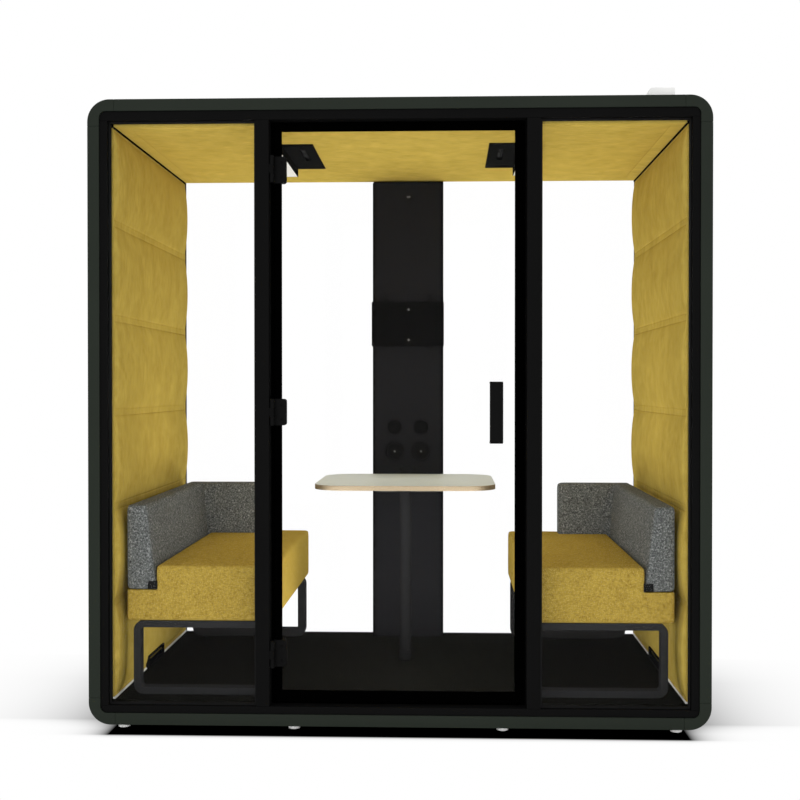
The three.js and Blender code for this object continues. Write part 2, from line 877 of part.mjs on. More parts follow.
function columnFittings() {
  const domeSteps = 3;
  const dome = [];
  for (let step = 0; step <= domeSteps; step += 1) {
    const turn = (step * Math.PI) / (2 * domeSteps);
    const rise = buttonDome * Math.sin(turn);
    const radius = step < domeSteps ? buttonRadius * Math.cos(turn) : 0;
    dome.push([radius, buttonTravel + buttonCap + rise]);
  }
  const cap = [
    [0, -buttonStemLength],
    [buttonStemRadius, -buttonStemLength],
    [buttonStemRadius, buttonTravel + gap],
    [buttonRadius, buttonTravel + gap],
    ...dome,
  ];
  for (const [word, side] of sides) {
    const x = (side * outletSpacing) / 2;
    for (const [size, kind] of [
      ["large", largeOutlet],
      ["small", smallOutlet],
    ]) {
      const body = facingDoor(turned(outlet(kind), 18), x, columnFront, tableTop + kind.aboveTable);
      add(`${size}_outlet_${word}`, body, finishes.plastic);
    }
    const button = facingDoor(turned(cap, 12), (side * buttonSpacing) / 2, columnFront, buttonHeight);
    add(`push_button_${word}`, button, finishes.plastic);
  }
}

// Table on one leg and a bracket at the column

function table() {
  const top = shapeOf(
    rectangle(tableLeft, tableLeft + tableWidth, tableFront, tableBack, tableCorner),
    [],
    10,
  );
  add("table_top", upward(top, tableBottom, tableTop, tableEdge), finishes.laminate);

  const legBottom = floorTop + gap;
  const legTop = tableBottom - gap;
  const profile = [
    [0, legBottom],
    [legCollarRadius - legCollarRound, legBottom],
    [legCollarRadius, legBottom + legCollarRound],
    [legCollarRadius, legBottom + legCollarHeight - legCollarTaper],
    [legRadius, legBottom + legCollarHeight],
    [legRadius, legTop - legPlateThickness],
    [legPlateRadius, legTop - legPlateThickness],
    [legPlateRadius, legTop],
    [0, legTop],
  ];
  const leg = turned(profile, 24).translate(tableShift, tableFront + legFromFront, 0);
  add("table_leg", leg, finishes.steel);

  const back = columnFront - gap;
  const angle = [
    [back, legTop],
    [back - bracketLeg, legTop],
    [back - bracketLeg, legTop - bracketThickness],
    [back - bracketThickness, legTop - bracketThickness, bracketThickness],
    [back - bracketThickness, legTop - bracketLeg],
    [back, legTop - bracketLeg],
  ];
  add("table_bracket", across(shapeOf(angle), -bracketLength / 2, bracketLength / 2), finishes.steel);
}

// Benches: a frame of two loops, a seat cushion and an L-shaped backrest

function benchFrame(side) {
  const bottom = floorTop + gap;
  const top = floorTop + seatBottom - gap;
  const x0 = side * (benchInnerX + loopInset);
  const x1 = side * (benchOuterX - loopOuterInset);
  const bar = side * loopBar;
  const loop = shapeOf(
    rectangle(x0, x1, bottom, top, loopCorner),
    [rectangle(x0 + bar, x1 - bar, bottom + loopBar, top - loopBar, loopCorner - loopBar)],
  );
  const front = benchFrontY + loopFrontSetback;
  const rear = benchBackY - loopRearSetback - loopDepth;
  const railFront = front + loopDepth / 2;
  const railRear = rear + loopDepth / 2;
  const rail = (x) => box(x, x + side * railWidth, railFront, railRear, top - loopBar, top);
  return joined(
    inward(loop, front, front + loopDepth, loopEdge),
    inward(loop, rear, rear + loopDepth, loopEdge),
    rail(x0 + side * railInset),
    rail(x1 - side * (railInset + railWidth)),
  );
}

function seat(side) {
  const [leftX, rightX] = [side * benchInnerX, side * benchOuterX].sort((a, b) => a - b);
  const low = new THREE.Vector3(leftX, benchFrontY, floorTop + seatBottom);
  const high = new THREE.Vector3(rightX, benchBackY, floorTop + seatTop);
  const full = cushion(low, high, seatRadius, [10, 14, 6], (point, place) => {
    const middle = (1 - place.x ** 2) * (1 - place.y ** 2);
    const belt = 1 - place.z ** 2;
    if (place.z > 0) point.z += seatCrown * middle * place.z;
    point.x -= Math.sign(place.x) * seatDrawIn * Math.abs(place.x) * (1 - place.y ** 2) * belt;
    point.y -= Math.sign(place.y) * seatDrawIn * Math.abs(place.y) * (1 - place.x ** 2) * belt;
  });
  const notchZ = floorTop + backrestBottom - gap;
  const above = notchZ + seatThickness;
  const inner = side * (benchOuterX - backrestThickness - gap);
  const beyond = side * (benchOuterX + seatRadius);
  const returnEnd = side * (benchOuterX - backrestReturn - gap);
  const returnFront = benchBackY - backrestThickness - gap;
  return cut(
    full,
    box(inner, beyond, benchFrontY - seatRadius, benchBackY + seatRadius, notchZ, above),
    box(returnEnd, beyond, returnFront, benchBackY + seatRadius, notchZ, above),
  );
}

function backrest(side) {
  const bottom = floorTop + backrestBottom;
  const top = bottom + backrestHeight;
  const lean = (place) => ((backrestThickness - backrestTopThickness) * (place.z + 1)) / 2;
  const outerX = side * benchOuterX;
  const innerX = side * (benchOuterX - backrestThickness);
  const endX = side * (benchOuterX - backrestReturn);
  const corner = (xa, xb, y, z, pick) => new THREE.Vector3(pick(xa, xb), y, z);
  const long = cushion(
    corner(outerX, innerX, benchFrontY, bottom, Math.min),
    corner(outerX, innerX, benchBackY, top, Math.max),
    backrestRadius,
    [4, 12, 6],
    (point, place) => {
      const facing = Math.max(0, -place.x * side);
      const crown = backrestCrown * (1 - place.y ** 2) * (1 - place.z ** 2);
      point.x += side * facing * (lean(place) - crown);
    },
  );
  const short = cushion(
    corner(outerX, endX, benchBackY - backrestThickness, bottom, Math.min),
    corner(outerX, endX, benchBackY, top, Math.max),
    backrestRadius,
    [6, 4, 6],
    (point, place) => {
      point.y += Math.max(0, -place.y) * lean(place);
    },
  );
  return joined(long, short);
}

function benches() {
  for (const [word, side] of sides) {
    add(`bench_frame_${word}`, benchFrame(side), finishes.steel);
    add(`seat_${word}`, seat(side), finishes.fabric);
    add(`backrest_${word}`, backrest(side), finishes.felt);
  }
}

// Ceiling units: a stepped housing with an air slot, a cross-flow rotor above the slot and a lamp

function unitHousing(side) {
  const top = innerTop - gap;
  const plateZ = innerTop - unitPlateDrop;
  const lampZ = innerTop - unitLampDrop;
  const inner = side * unitInnerX;
  const step = side * (unitInnerX + unitPlateWidth);
  const outer = side * (unitInnerX + unitPlateWidth + unitLampWidth);
  const section = [
    [inner, plateZ],
    [step, plateZ],
    [step, lampZ],
    [outer, lampZ],
    [outer, top],
    [inner, top],
  ];
  const x = side * rotorX;
  const chamber = box(
    x - chamberHalf,
    x + chamberHalf,
    slotFrontY - chamberEndGap,
    slotBackY + chamberEndGap,
    rotorZ - chamberHalf,
    rotorZ + chamberHalf,
  );
  const slotHalf = slotWidth / 2;
  const slot = box(x - slotHalf, x + slotHalf, slotFrontY, slotBackY, plateZ - cutterReach, rotorZ);
  const shaftEnd = shaftLength - rotorEndGap + gap;
  const bearings = cylinder(shaftRadius + gap, 8, 0, 0, slotFrontY - shaftEnd, slotBackY + shaftEnd);
  bearings.rotateX(-Math.PI / 2).translate(x, 0, rotorZ);
  const wall = side * lampWall;
  const lampSeat = box(
    step + wall,
    outer - wall,
    unitFrontY + lampWall,
    unitBackY - lampWall,
    lampZ - cutterReach,
    lampZ + lampThickness,
  );
  const body = inward(shapeOf(section), unitFrontY, unitBackY, unitEdge);
  return cut(body, chamber, slot, bearings, lampSeat);
}

function lamp(side) {
  const inset = lampWall + gap;
  const x0 = side * (unitInnerX + unitPlateWidth + inset);
  const x1 = side * (unitInnerX + unitPlateWidth + unitLampWidth - inset);
  const z = innerTop - unitLampDrop;
  const outline = rectangle(x0, x1, z, z + lampThickness - gap);
  return inward(shapeOf(outline), unitFrontY + inset, unitBackY - inset, unitEdge);
}

// One forward-curved blade, drawn across the rotor's axis
function bladeOutline(angle) {
  const steps = 2;
  const span = rotorRadius - bladeTipInset - bladeInnerRadius;
  const outline = [];
  for (const [offset, order] of [
    [0, 1],
    [bladeThickness, -1],
  ]) {
    for (let step = 0; step <= steps; step += 1) {
      const share = order > 0 ? step / steps : 1 - step / steps;
      const radius = bladeInnerRadius + span * share;
      const turn = angle + bladeSweep * share ** 2 + offset / radius;
      outline.push([radius * Math.cos(turn), radius * Math.sin(turn)]);
    }
  }
  return outline;
}

function rotor(side) {
  const low = slotFrontY + rotorEndGap;
  const high = slotBackY - rotorEndGap;
  const middle = (low + high) / 2;
  const halfDisc = rotorDisc / 2;
  const disc = (y) => cylinder(rotorRadius, 18, 0, 0, y, y + rotorDisc);
  const blades = [];
  for (let index = 0; index < rotorBlades; index += 1) {
    const angle = (2 * Math.PI * index) / rotorBlades;
    blades.push(upward(shapeOf(bladeOutline(angle)), low + halfDisc, high - halfDisc));
  }
  const drum = joined(
    disc(low),
    disc(middle - halfDisc),
    disc(high - rotorDisc),
    cylinder(shaftRadius, 8, 0, 0, low - shaftLength, low + halfDisc),
    cylinder(shaftRadius, 8, 0, 0, high - halfDisc, high + shaftLength),
    ...blades,
  );
  return drum.rotateX(-Math.PI / 2).translate(side * rotorX, 0, rotorZ);
}

function ceilingUnits() {
  for (const [word, side] of sides) {
    add(`ceiling_unit_${word}`, unitHousing(side), finishes.plastic);
    add(`lamp_diffuser_${word}`, lamp(side), finishes.diffuser);
    add(`fan_rotor_${word}`, rotor(side), finishes.plastic);
  }
}

// Junction box on the roof

function roofBox() {
  const bottom = shellTop + gap;
  const top = shellTop + roofBoxHeight;
  const right = halfWidth - roofBoxFromSide;
  const left = right - roofBoxWidth;
  const outline = [
    [left, bottom],
    [right, bottom],
    [right, top, roofBoxCorner],
    [left + roofBoxSlant, top, roofBoxCorner],
  ];
  const front = -halfDepth + roofBoxFromFront;
  const casing = inward(shapeOf(outline), front, front + roofBoxDepth, roofBoxEdge);
  add("roof_box", casing, finishes.pale);
}

shell();
feet();
frontFrame();
backFrame();
door();
linings();
column();
screenPlate();
columnFittings();
table();
benches();
ceilingUnits();
roofBox();

export default pod;
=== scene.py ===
"""Acoustic office pod: the visible pieces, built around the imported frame."""

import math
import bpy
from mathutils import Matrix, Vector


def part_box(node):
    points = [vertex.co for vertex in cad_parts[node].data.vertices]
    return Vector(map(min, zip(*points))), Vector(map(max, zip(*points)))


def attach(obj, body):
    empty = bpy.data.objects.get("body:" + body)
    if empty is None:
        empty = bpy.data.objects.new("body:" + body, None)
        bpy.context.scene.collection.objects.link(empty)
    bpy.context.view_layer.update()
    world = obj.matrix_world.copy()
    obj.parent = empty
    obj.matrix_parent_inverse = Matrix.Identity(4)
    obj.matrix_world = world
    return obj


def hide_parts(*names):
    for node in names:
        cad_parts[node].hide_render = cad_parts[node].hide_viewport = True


bl_info = {
    "name": "Acoustic office pod",
    "version": (1, 0, 0),
    "blender": (4, 5, 0),
    "location": "View3D > Sidebar > Pod",
    "description": "Builds the visible pieces of an acoustic office pod around its packed frame",
    "category": "Object",
}

import bmesh
import bpy
from bpy.props import FloatProperty, FloatVectorProperty, IntProperty, PointerProperty
from mathutils import Matrix, Vector
from mathutils.bvhtree import BVHTree

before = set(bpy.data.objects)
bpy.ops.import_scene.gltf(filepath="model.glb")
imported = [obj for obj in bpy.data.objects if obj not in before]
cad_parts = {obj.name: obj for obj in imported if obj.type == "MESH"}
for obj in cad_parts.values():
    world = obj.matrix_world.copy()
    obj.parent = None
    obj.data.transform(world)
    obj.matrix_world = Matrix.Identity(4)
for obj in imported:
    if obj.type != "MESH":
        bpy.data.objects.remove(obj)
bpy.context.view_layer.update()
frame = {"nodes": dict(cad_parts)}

X, Y, Z = 0, 1, 2
SIDES = (("left", -1), ("right", 1))


def srgb(red, green, blue):
    """The linear colour of an 8-bit sRGB one."""

    def linear(level):
        share = level / 255
        return share / 12.92 if share <= 0.04045 else ((share + 0.055) / 1.055) ** 2.4

    return linear(red), linear(green), linear(blue)


def length(name, description, default):
    return FloatProperty(name=name, description=description, default=default, min=0, unit="LENGTH")


def colour(name, description, *levels):
    return FloatVectorProperty(
        name=name, description=description, default=srgb(*levels), min=0, max=1, subtype="COLOR"
    )


class PodSizes(bpy.types.PropertyGroup):
    """Sizes of the visible pieces that a user may change"""

    outer_corner: length("Outer corner", "Radius of the shell's outer corners", 0.080)
    inner_corner: length("Inner corner", "Radius of the shell's inner corners", 0.024)
    shell_edge: length("Shell edge", "Rounding of the shell panels' edges", 0.0016)
    print_side: length("Side print", "Width of the black print along the leaf's closing side", 0.037)
    print_hinge: length("Hinge print", "Width of the black print along the leaf's hinge side", 0.025)
    print_top: length("Top print", "Width of the black print along the leaf's top", 0.029)
    print_bottom: length("Bottom print", "Width of the black print along the leaf's bottom", 0.041)
    bead: length("Glazing bead", "Width of the rubber bead round each fixed pane", 0.006)
    channels: IntProperty(name="Channels", description="Sewn channels of a wall pad", default=6, min=1)
    strip: length("Channel strip", "Height of the flat strip between two channels", 0.024)
    margin: length("Pad margin", "Width of the flat margin at a wall pad's ends", 0.012)
    pad_depth: length("Pad depth", "Thickness of a wall pad at its seams", 0.0347)
    pillow_corner: length("Pillow corner", "Corner radius of a wall pad's channels", 0.012)
    pillow_crown: length("Pillow crown", "How far a wall pad's channels stand out", 0.018)
    pillow_end: length("Pillow end", "Length of the rounded ends of a wall pad's channels", 0.022)
    ceiling_border: length("Ceiling border", "Flat border of the ceiling pad at the walls", 0.062)
    ceiling_crown: length("Ceiling crown", "How far the ceiling pad hangs in its field", 0.016)
    seam: length("Seam", "Depth of the sewn seams", 0.0020)
    welt: length("Welt", "Radius of the seams along the cushions' edges", 0.0013)
    table_leg: length("Table leg", "Radius of the table's leg", 0.0245)
    table_corner: length("Table corner", "Radius of the table's corners", 0.130)
    backrest_foot: length("Backrest foot", "Thickness of the backrests at the seat", 0.110)
    backrest_head: length("Backrest head", "Thickness of the backrests at the top", 0.075)
    backrest_crown: length("Backrest crown", "How far the backrests swell", 0.005)
    seat_crown: length("Seat crown", "How far the seats swell", 0.009)
    backrest_edge: length("Backrest edge", "Rounding of the backrests' edges", 0.017)
    seat_edge: length("Seat edge", "Rounding of the seats' edges", 0.013)
    bench_bar: length("Bench bar", "Width of the bench frames' bars", 0.026)
    bench_corner: length("Bench corner", "Corner radius of the bench frames", 0.038)


class PodColours(bpy.types.PropertyGroup):
    """Colours of the finishes"""

    shell: colour("Shell coat", "Powder coat of the shell", 35, 40, 34)
    frame: colour("Frame coat", "Powder coat of the frames", 14, 14, 14)
    hinge: colour("Hinge coat", "Powder coat of the hinges and the handle", 14, 14, 14)
    skirting: colour("Skirting", "White paint of the skirting", 250, 250, 248)
    wool: colour("Lining wool", "Wool of the wall and ceiling pads", 204, 178, 87)
    wool_shade: colour("Lining wool, dark", "Darker fibres of the lining wool", 172, 148, 64)
    weave: colour("Seat weave", "Light yarn of the seat cushions", 195, 166, 76)
    weave_shade: colour("Seat weave, dark", "Dark yarn of the seat cushions", 152, 124, 47)
    felt: colour("Backrest felt", "Middle grey of the melange felt", 106, 109, 108)
    felt_shade: colour("Backrest felt, dark", "Dark fibres of the melange felt", 39, 40, 42)
    felt_light: colour("Backrest felt, light", "Light fibres of the melange felt", 184, 186, 185)
    carpet: colour("Carpet", "Loop pile of the floor", 20, 20, 17)
    column: colour("Column coat", "Coat of the media column", 29, 29, 31)
    plastic: colour("Black plastic", "Moulded black plastic", 20, 20, 20)
    steel: colour("Bench coat", "Powder coat of the bench frames", 48, 48, 49)
    laminate: colour("Table laminate", "Face of the table top", 216, 223, 220)
    ply: colour("Plywood edge", "Light plies of the table's edge", 150, 137, 114)
    ply_shade: colour("Plywood edge, dark", "Dark plies of the table's edge", 126, 108, 83)
    diffuser: colour("Diffuser", "Opal lamp covers", 240, 240, 238)
    pale: colour("Pale plastic", "Feet and roof box", 250, 250, 248)


class PodStage(bpy.types.PropertyGroup):
    """Camera, lamps and floor"""

    camera_place: FloatVectorProperty(
        name="Camera place",
        description="Where the camera stands",
        default=(0.1695, -5.1788, 1.2402),
        subtype="XYZ",
        unit="LENGTH",
    )
    camera_yaw: FloatProperty(
        name="Camera yaw", description="Turn to the left", default=math.radians(2.051), unit="ROTATION"
    )
    camera_pitch: FloatProperty(
        name="Camera pitch", description="Tilt up", default=math.radians(-0.625), unit="ROTATION"
    )
    camera_lens: FloatProperty(
        name="Camera lens", description="Focal length in mm", default=56.558, min=1, unit="CAMERA"
    )
    # Where the floor's painted shadow lies
    shade_side: length("Shade side", "Half width of the darkest part of the floor's shadow", 1.03)
    shade_front: length("Shade front", "Reach of the darkest part of the floor's shadow to the front", 0.755)
    sky: FloatProperty(name="Sky", description="Strength of the even light", default=0.93, min=0)
    key: FloatProperty(name="Key lamp", description="Soft lamp in front", default=92, min=0, unit="POWER")
    low_front: FloatProperty(
        name="Low front lamp", description="Soft lamp near the floor in front", default=5, min=0, unit="POWER"
    )
    low_back: FloatProperty(
        name="Low back lamp", description="Soft lamp near the floor behind", default=50, min=0, unit="POWER"
    )
    fill: FloatProperty(name="Cabin fill", description="Soft lamps in the cabin", default=3.5, min=0, unit="POWER")


# Shader nodes


class Channel:
    """A shader socket that takes part in Python arithmetic"""

    def __init__(self, finish, socket):
        self.finish = finish
        self.socket = socket

    def math(self, operation, *values):
        return self.finish.node("Math", {"operation": operation}, dict(enumerate(values)))

    def __add__(self, other):
        return self.math("ADD", self, other)

    __radd__ = __add__

    def __sub__(self, other):
        return self.math("SUBTRACT", self, other)

    def __rsub__(self, other):
        return self.math("SUBTRACT", other, self)

    def __mul__(self, other):
        return self.math("MULTIPLY", self, other)

    __rmul__ = __mul__

    def __pow__(self, other):
        return self.math("POWER", self, other)

    def sine(self):
        return self.math("SINE", self)

    def absolute(self):
        return self.math("ABSOLUTE", self)

    def at_most(self, other):
        return self.math("MINIMUM", self, other)

    def at_least(self, other):
        return self.math("MAXIMUM", self, other)


class Finish:
    """A node material: one method adds nodes, the others say what a maker would call them"""

    def __init__(self, name, tree=None):
        if tree is None:
            self.material = bpy.data.materials.new(name)
            self.material.use_nodes = True
            tree = self.material.node_tree
        self.tree = tree
        self.shader = tree.nodes.get("Principled BSDF")

    def node(self, kind, settings=None, sockets=None, output=0):
        made = self.tree.nodes.new("ShaderNode" + kind)
        for key, value in (settings or {}).items():
            if key == "stops":
                self.set_stops(made.color_ramp, value)
            else:
                setattr(made, key, value)
        for key, value in (sockets or {}).items():
            self.feed(made.inputs[key], value)
        return Channel(self, made.outputs[output])

    @staticmethod
    def set_stops(ramp, stops):
        while len(ramp.elements) < len(stops):
            ramp.elements.new(1.0)
        for element, (place, shade) in zip(ramp.elements, stops):
            element.position = place
            element.color = (*shade, 1.0)

    def feed(self, socket, value):
        if isinstance(value, Channel):
            self.tree.links.new(value.socket, socket)
        elif hasattr(value, "__len__") and len(value) == 3 and socket.type == "RGBA":
            socket.default_value = (*value, 1.0)
        else:
            socket.default_value = value

    def give(self, **sockets):
        for key, value in sockets.items():
            self.feed(self.shader.inputs[key.replace("_", " ")], value)
        return self

    def place(self, stretch=(1, 1, 1)):
        here = self.node("TexCoord", output="Object")
        if stretch == (1, 1, 1):
            return here
        return self.node("Mapping", None, {"Vector": here, "Scale": stretch})

    def part(self, vector, axis):
        return self.node("SeparateXYZ", None, {0: vector}, output=axis)

    def noise(self, scale, detail=2.0, roughness=0.5, stretch=(1, 1, 1)):
        return self.node(
            "TexNoise",
            None,
            {"Vector": self.place(stretch), "Scale": scale, "Detail": detail, "Roughness": roughness},
        )

    def cells(self, scale, stretch=(1, 1, 1)):
        return self.node("TexVoronoi", None, {"Vector": self.place(stretch), "Scale": scale})

    def ramp(self, factor, *stops):
        return self.node("ValToRGB", {"stops": stops}, {"Fac": factor})

    def mixed(self, factor, first, second, blend="MIX"):
        settings = {"data_type": "RGBA", "blend_type": blend, "clamp_factor": True}
        return self.node("Mix", settings, {0: factor, 6: first, 7: second}, output=2)

    def weave(self, pitch):
        """Height of a plain weave that follows the cloth's own map, from -1 to 1"""
        flat = self.node("UVMap", {"uv_map": "cloth"})
        turn = 2 * math.pi / pitch
        return (self.part(flat, X) * turn).sine() * (self.part(flat, Y) * turn).sine()

    def worn_edge(self, radius):
        """Near 1 along sharp edges and 0 on flat faces; used for edge wear and a painted highlight"""
        rounded = self.node("Bevel", {"samples": 4}, {"Radius": radius})
        true = self.node("NewGeometry", output="Normal")
        level = self.node("VectorMath", {"operation": "DOT_PRODUCT"}, {0: rounded, 1: true}, output="Value")
        return ((1 - level) * 5).at_most(1.0)

    def bump(self, height, distance, strength=1.0):
        normal = self.node("Bump", None, {"Height": height, "Distance": distance, "Strength": strength})
        return self.give(Normal=normal)


def shaded(tone, share):
    return tuple(level * share for level in tone)


def powder_coat(name, tone, roughness, shine, worn=0.0):
    made = Finish(name)
    drift = made.noise(3.5, 3)
    peel = made.noise(900, 2)
    base = made.mixed(drift * 0.6 + peel * 0.4, shaded(tone, 0.82), shaded(tone, 1.18))
    # Lighter along sharp edges: partly edge wear, partly a painted highlight
    if worn:
        base = made.mixed(made.worn_edge(0.0025) * worn, base, shaded(tone, 2.2))
    made.give(Base_Color=base, Roughness=roughness + (drift - 0.5) * 0.16, Specular_IOR_Level=shine)
    return made.bump(peel, 0.00006).material


def column_coat(name, tone):
    """A coat with painted shade in a thin band along the column's two upright edges"""
    made = Finish(name)
    drift = made.noise(3.5, 3)
    # Painted shade: a band about 0.15 times as bright at each upright edge
    edge = ((made.part(made.place(), X).absolute() - 0.1502) * 700).at_least(0.0).at_most(1.0)
    face = made.mixed(drift, shaded(tone, 0.94), shaded(tone, 1.06))
    made.give(Base_Color=made.mixed(edge, face, shaded(tone, 0.15)), Roughness=0.6, Specular_IOR_Level=0.0)
    return made.bump(made.noise(900, 2), 0.00005).material


def moulded_plastic(name, tone, roughness, shine):
    made = Finish(name)
    drift = made.noise(9, 2)
    grain = made.cells(1500)
    base = made.mixed(drift, shaded(tone, 0.85), shaded(tone, 1.15))
    made.give(Base_Color=base, Roughness=roughness + (drift - 0.5) * 0.1, Specular_IOR_Level=shine)
    return made.bump(grain, 0.00004).material


def lining_wool(name, tones, light=1.0):
    made = Finish(name)
    drift = made.noise(11, 3, 0.6)
    mottle = made.noise(75, 3, 0.6, (0.35, 1, 0.35))
    fibre = made.noise(420, 3, 0.7, (0.35, 1, 0.35))
    share = drift * 0.4 + mottle * 0.5 + fibre * 0.4 - 0.15
    # light above 1 is painted light: a brighter copy of the same wool
    base = made.ramp(share, (0.33, shaded(tones.wool_shade, light)), (0.67, shaded(tones.wool, light)))
    made.give(Base_Color=base, Roughness=0.97, Specular_IOR_Level=0.0)
    return made.bump(fibre * 0.7 + mottle * 0.5, 0.0011, 0.7).material


def seat_weave(name, tones):
    made = Finish(name)
    drift = made.noise(14, 2)
    boucle = made.noise(120, 3, 0.65)
    warp = made.noise(250, 2, 0.6, (1, 1, 0.3))
    weft = made.noise(250, 2, 0.6, (0.3, 0.3, 1))
    yarn = warp * 0.5 + weft * 0.5
    thread = made.weave(0.0042)
    share = yarn * 0.85 + boucle * 0.35 + drift * 0.1 + thread * 0.05 - 0.15
    base = made.ramp(
        share,
        (0.38, tones.weave_shade),
        (0.50, shaded(tones.weave, 0.86)),
        (0.62, tones.weave),
    )
    made.give(Base_Color=base, Roughness=0.96, Specular_IOR_Level=0.0)
    return made.bump(boucle * 0.6 + yarn * 0.5 + thread * 0.25, 0.0016, 0.8).material


def melange_felt(name, tones):
    made = Finish(name)
    clump = made.noise(150, 3, 0.7)
    fibre = made.noise(520, 3, 0.7)
    share = clump * 0.7 + fibre * 0.5 - 0.1
    base = made.ramp(
        share,
        (0.36, tones.felt_shade),
        (0.46, shaded(tones.felt, 0.8)),
        (0.54, tones.felt),
        (0.66, tones.felt_light),
    )
    made.give(Base_Color=base, Roughness=0.98, Specular_IOR_Level=0.0)
    return made.bump(clump * 0.5 + fibre * 0.6, 0.0012, 0.8).material


def loop_carpet(name, tones):
    made = Finish(name)
    drift = made.noise(7, 3)
    loops = made.cells(210)
    tuft = made.noise(420, 2)
    base = made.mixed(drift * 0.5 + tuft * 0.5, shaded(tones.carpet, 0.7), shaded(tones.carpet, 1.35))
    made.give(Base_Color=base, Roughness=1.0, Specular_IOR_Level=0.0)
    return made.bump(tuft * 0.5 - loops * 0.8, 0.0022).material


def clear_glass(name):
    made = Finish(name)
    made.give(Base_Color=(1, 1, 1), Roughness=0.0, IOR=1.1, Transmission_Weight=1.0)
    through = made.node("BsdfTransparent", None, {"Color": (0.97, 0.985, 0.975)})
    lamp_ray = made.node("LightPath", output="Is Shadow Ray")
    glass = Channel(made, made.shader.outputs[0])
    pane = made.node("MixShader", None, {0: lamp_ray, 1: glass, 2: through})
    made.feed(made.tree.nodes["Material Output"].inputs["Surface"], pane)
    return made.material


def glass_print(name):
    made = Finish(name)
    speck = made.noise(260, 2)
    base = made.mixed(speck, (0.0002, 0.0002, 0.0002), (0.0005, 0.0005, 0.0005))
    return made.give(Base_Color=base, Roughness=0.35 + speck * 0.1, Specular_IOR_Level=0.0).material


def rubber(name):
    made = Finish(name)
    bloom = made.noise(38, 3)
    base = made.mixed(bloom, (0.0035, 0.0035, 0.0036), (0.0065, 0.0065, 0.0066))
    made.give(Base_Color=base, Roughness=0.6 + bloom * 0.15, Specular_IOR_Level=0.2)
    return made.bump(made.noise(700, 2), 0.00005).material


def table_laminate(name, tones):
    made = Finish(name)
    drift = made.noise(5, 3)
    speck = made.noise(1300, 2, 0.7)
    base = made.mixed(drift * 0.5 + speck * 0.5, shaded(tones.laminate, 0.93), shaded(tones.laminate, 1.05))
    made.give(Base_Color=base, Roughness=0.5 + speck * 0.12, Specular_IOR_Level=0.3)
    return made.bump(speck, 0.00005).material


def plywood_edge(name, tones):
    made = Finish(name)
    height = made.part(made.place(), Z)
    plies = 9
    thickness = 0.020
    band = (height * (2 * math.pi * plies / (2 * thickness))).sine() * 0.5 + 0.5
    fibre = made.noise(240, 3, 0.6, (0.25, 0.25, 3))
    base = made.mixed(band * 0.55 + fibre * 0.4, tones.ply, tones.ply_shade)
    made.give(Base_Color=base, Roughness=0.55 + fibre * 0.15, Specular_IOR_Level=0.25)
    return made.bump(band * 0.5 + fibre * 0.5, 0.00015).material


def opal(name, tone):
    made = Finish(name)
    drift = made.noise(30, 2)
    base = made.mixed(drift, shaded(tone, 0.96), tone)
    made.give(Base_Color=base, Roughness=0.45 + drift * 0.1, Specular_IOR_Level=0.3)
    made.give(Emission_Color=tone, Emission_Strength=0.1)
    return made.bump(made.noise(500, 2), 0.00004).material


def bright_steel(name):
    made = Finish(name)
    brushed = made.noise(500, 2, 0.6, (1, 1, 0.15))
    base = made.mixed(brushed, (0.42, 0.42, 0.43), (0.62, 0.62, 0.62))
    made.give(Base_Color=base, Roughness=0.3 + brushed * 0.15, Metallic=1.0)
    return made.bump(brushed, 0.00004).material


def stage_floor(name, sizes):
    """White to the camera, with a painted soft shadow under the pod and beside it; plain grey to other rays"""
    made = Finish(name)
    grain = made.noise(3, 2)
    made.give(Base_Color=made.mixed(grain, (0.72, 0.72, 0.72), (0.74, 0.74, 0.74)), Roughness=0.9)
    made.give(Specular_IOR_Level=0.0)
    across = made.part(made.place(), X)
    along = made.part(made.place(), Y)
    # Painted shadow: near black under the pod, fading out beside, in front of and behind it; the side part fades
    # toward the back
    ends = ((along.absolute() - 0.55) * 8).at_least(0.0).at_most(1.0)
    beside = (across.absolute() - sizes.shade_side).at_least(0.0) * (1 / 0.18 + ends * 14)
    before = (along.absolute() - sizes.shade_front).at_least(0.0) * (1 / 0.012)
    aside = ((across.absolute() - sizes.shade_side) * 10).at_least(0.0).at_most(1.0)
    behind = 1 - aside * ((along - 0.1) * 1.6).at_least(0.0).at_most(0.8)
    shade = made.node("Math", {"operation": "POWER"}, {0: math.e, 1: -1 * (beside + before)}) * behind
    white = made.ramp(1 - shade, (0.0, (0, 0, 0)), (1.0, (1, 1, 1)))
    seen = made.node("BsdfPrincipled", None, {"Base Color": (0, 0, 0), "Specular IOR Level": 0.0})
    made.feed(seen.socket.node.inputs["Emission Color"], white)
    made.feed(seen.socket.node.inputs["Emission Strength"], 1.0)
    rays = [made.node("LightPath", output="Is %s Ray" % kind) for kind in ("Camera", "Glossy", "Transmission")]
    plain = Channel(made, made.shader.outputs[0])
    both = made.node("MixShader", None, {0: (rays[0] + rays[1] + rays[2]).at_most(1.0), 1: plain, 2: seen})
    made.feed(made.tree.nodes["Material Output"].inputs["Surface"], both)
    return made.material


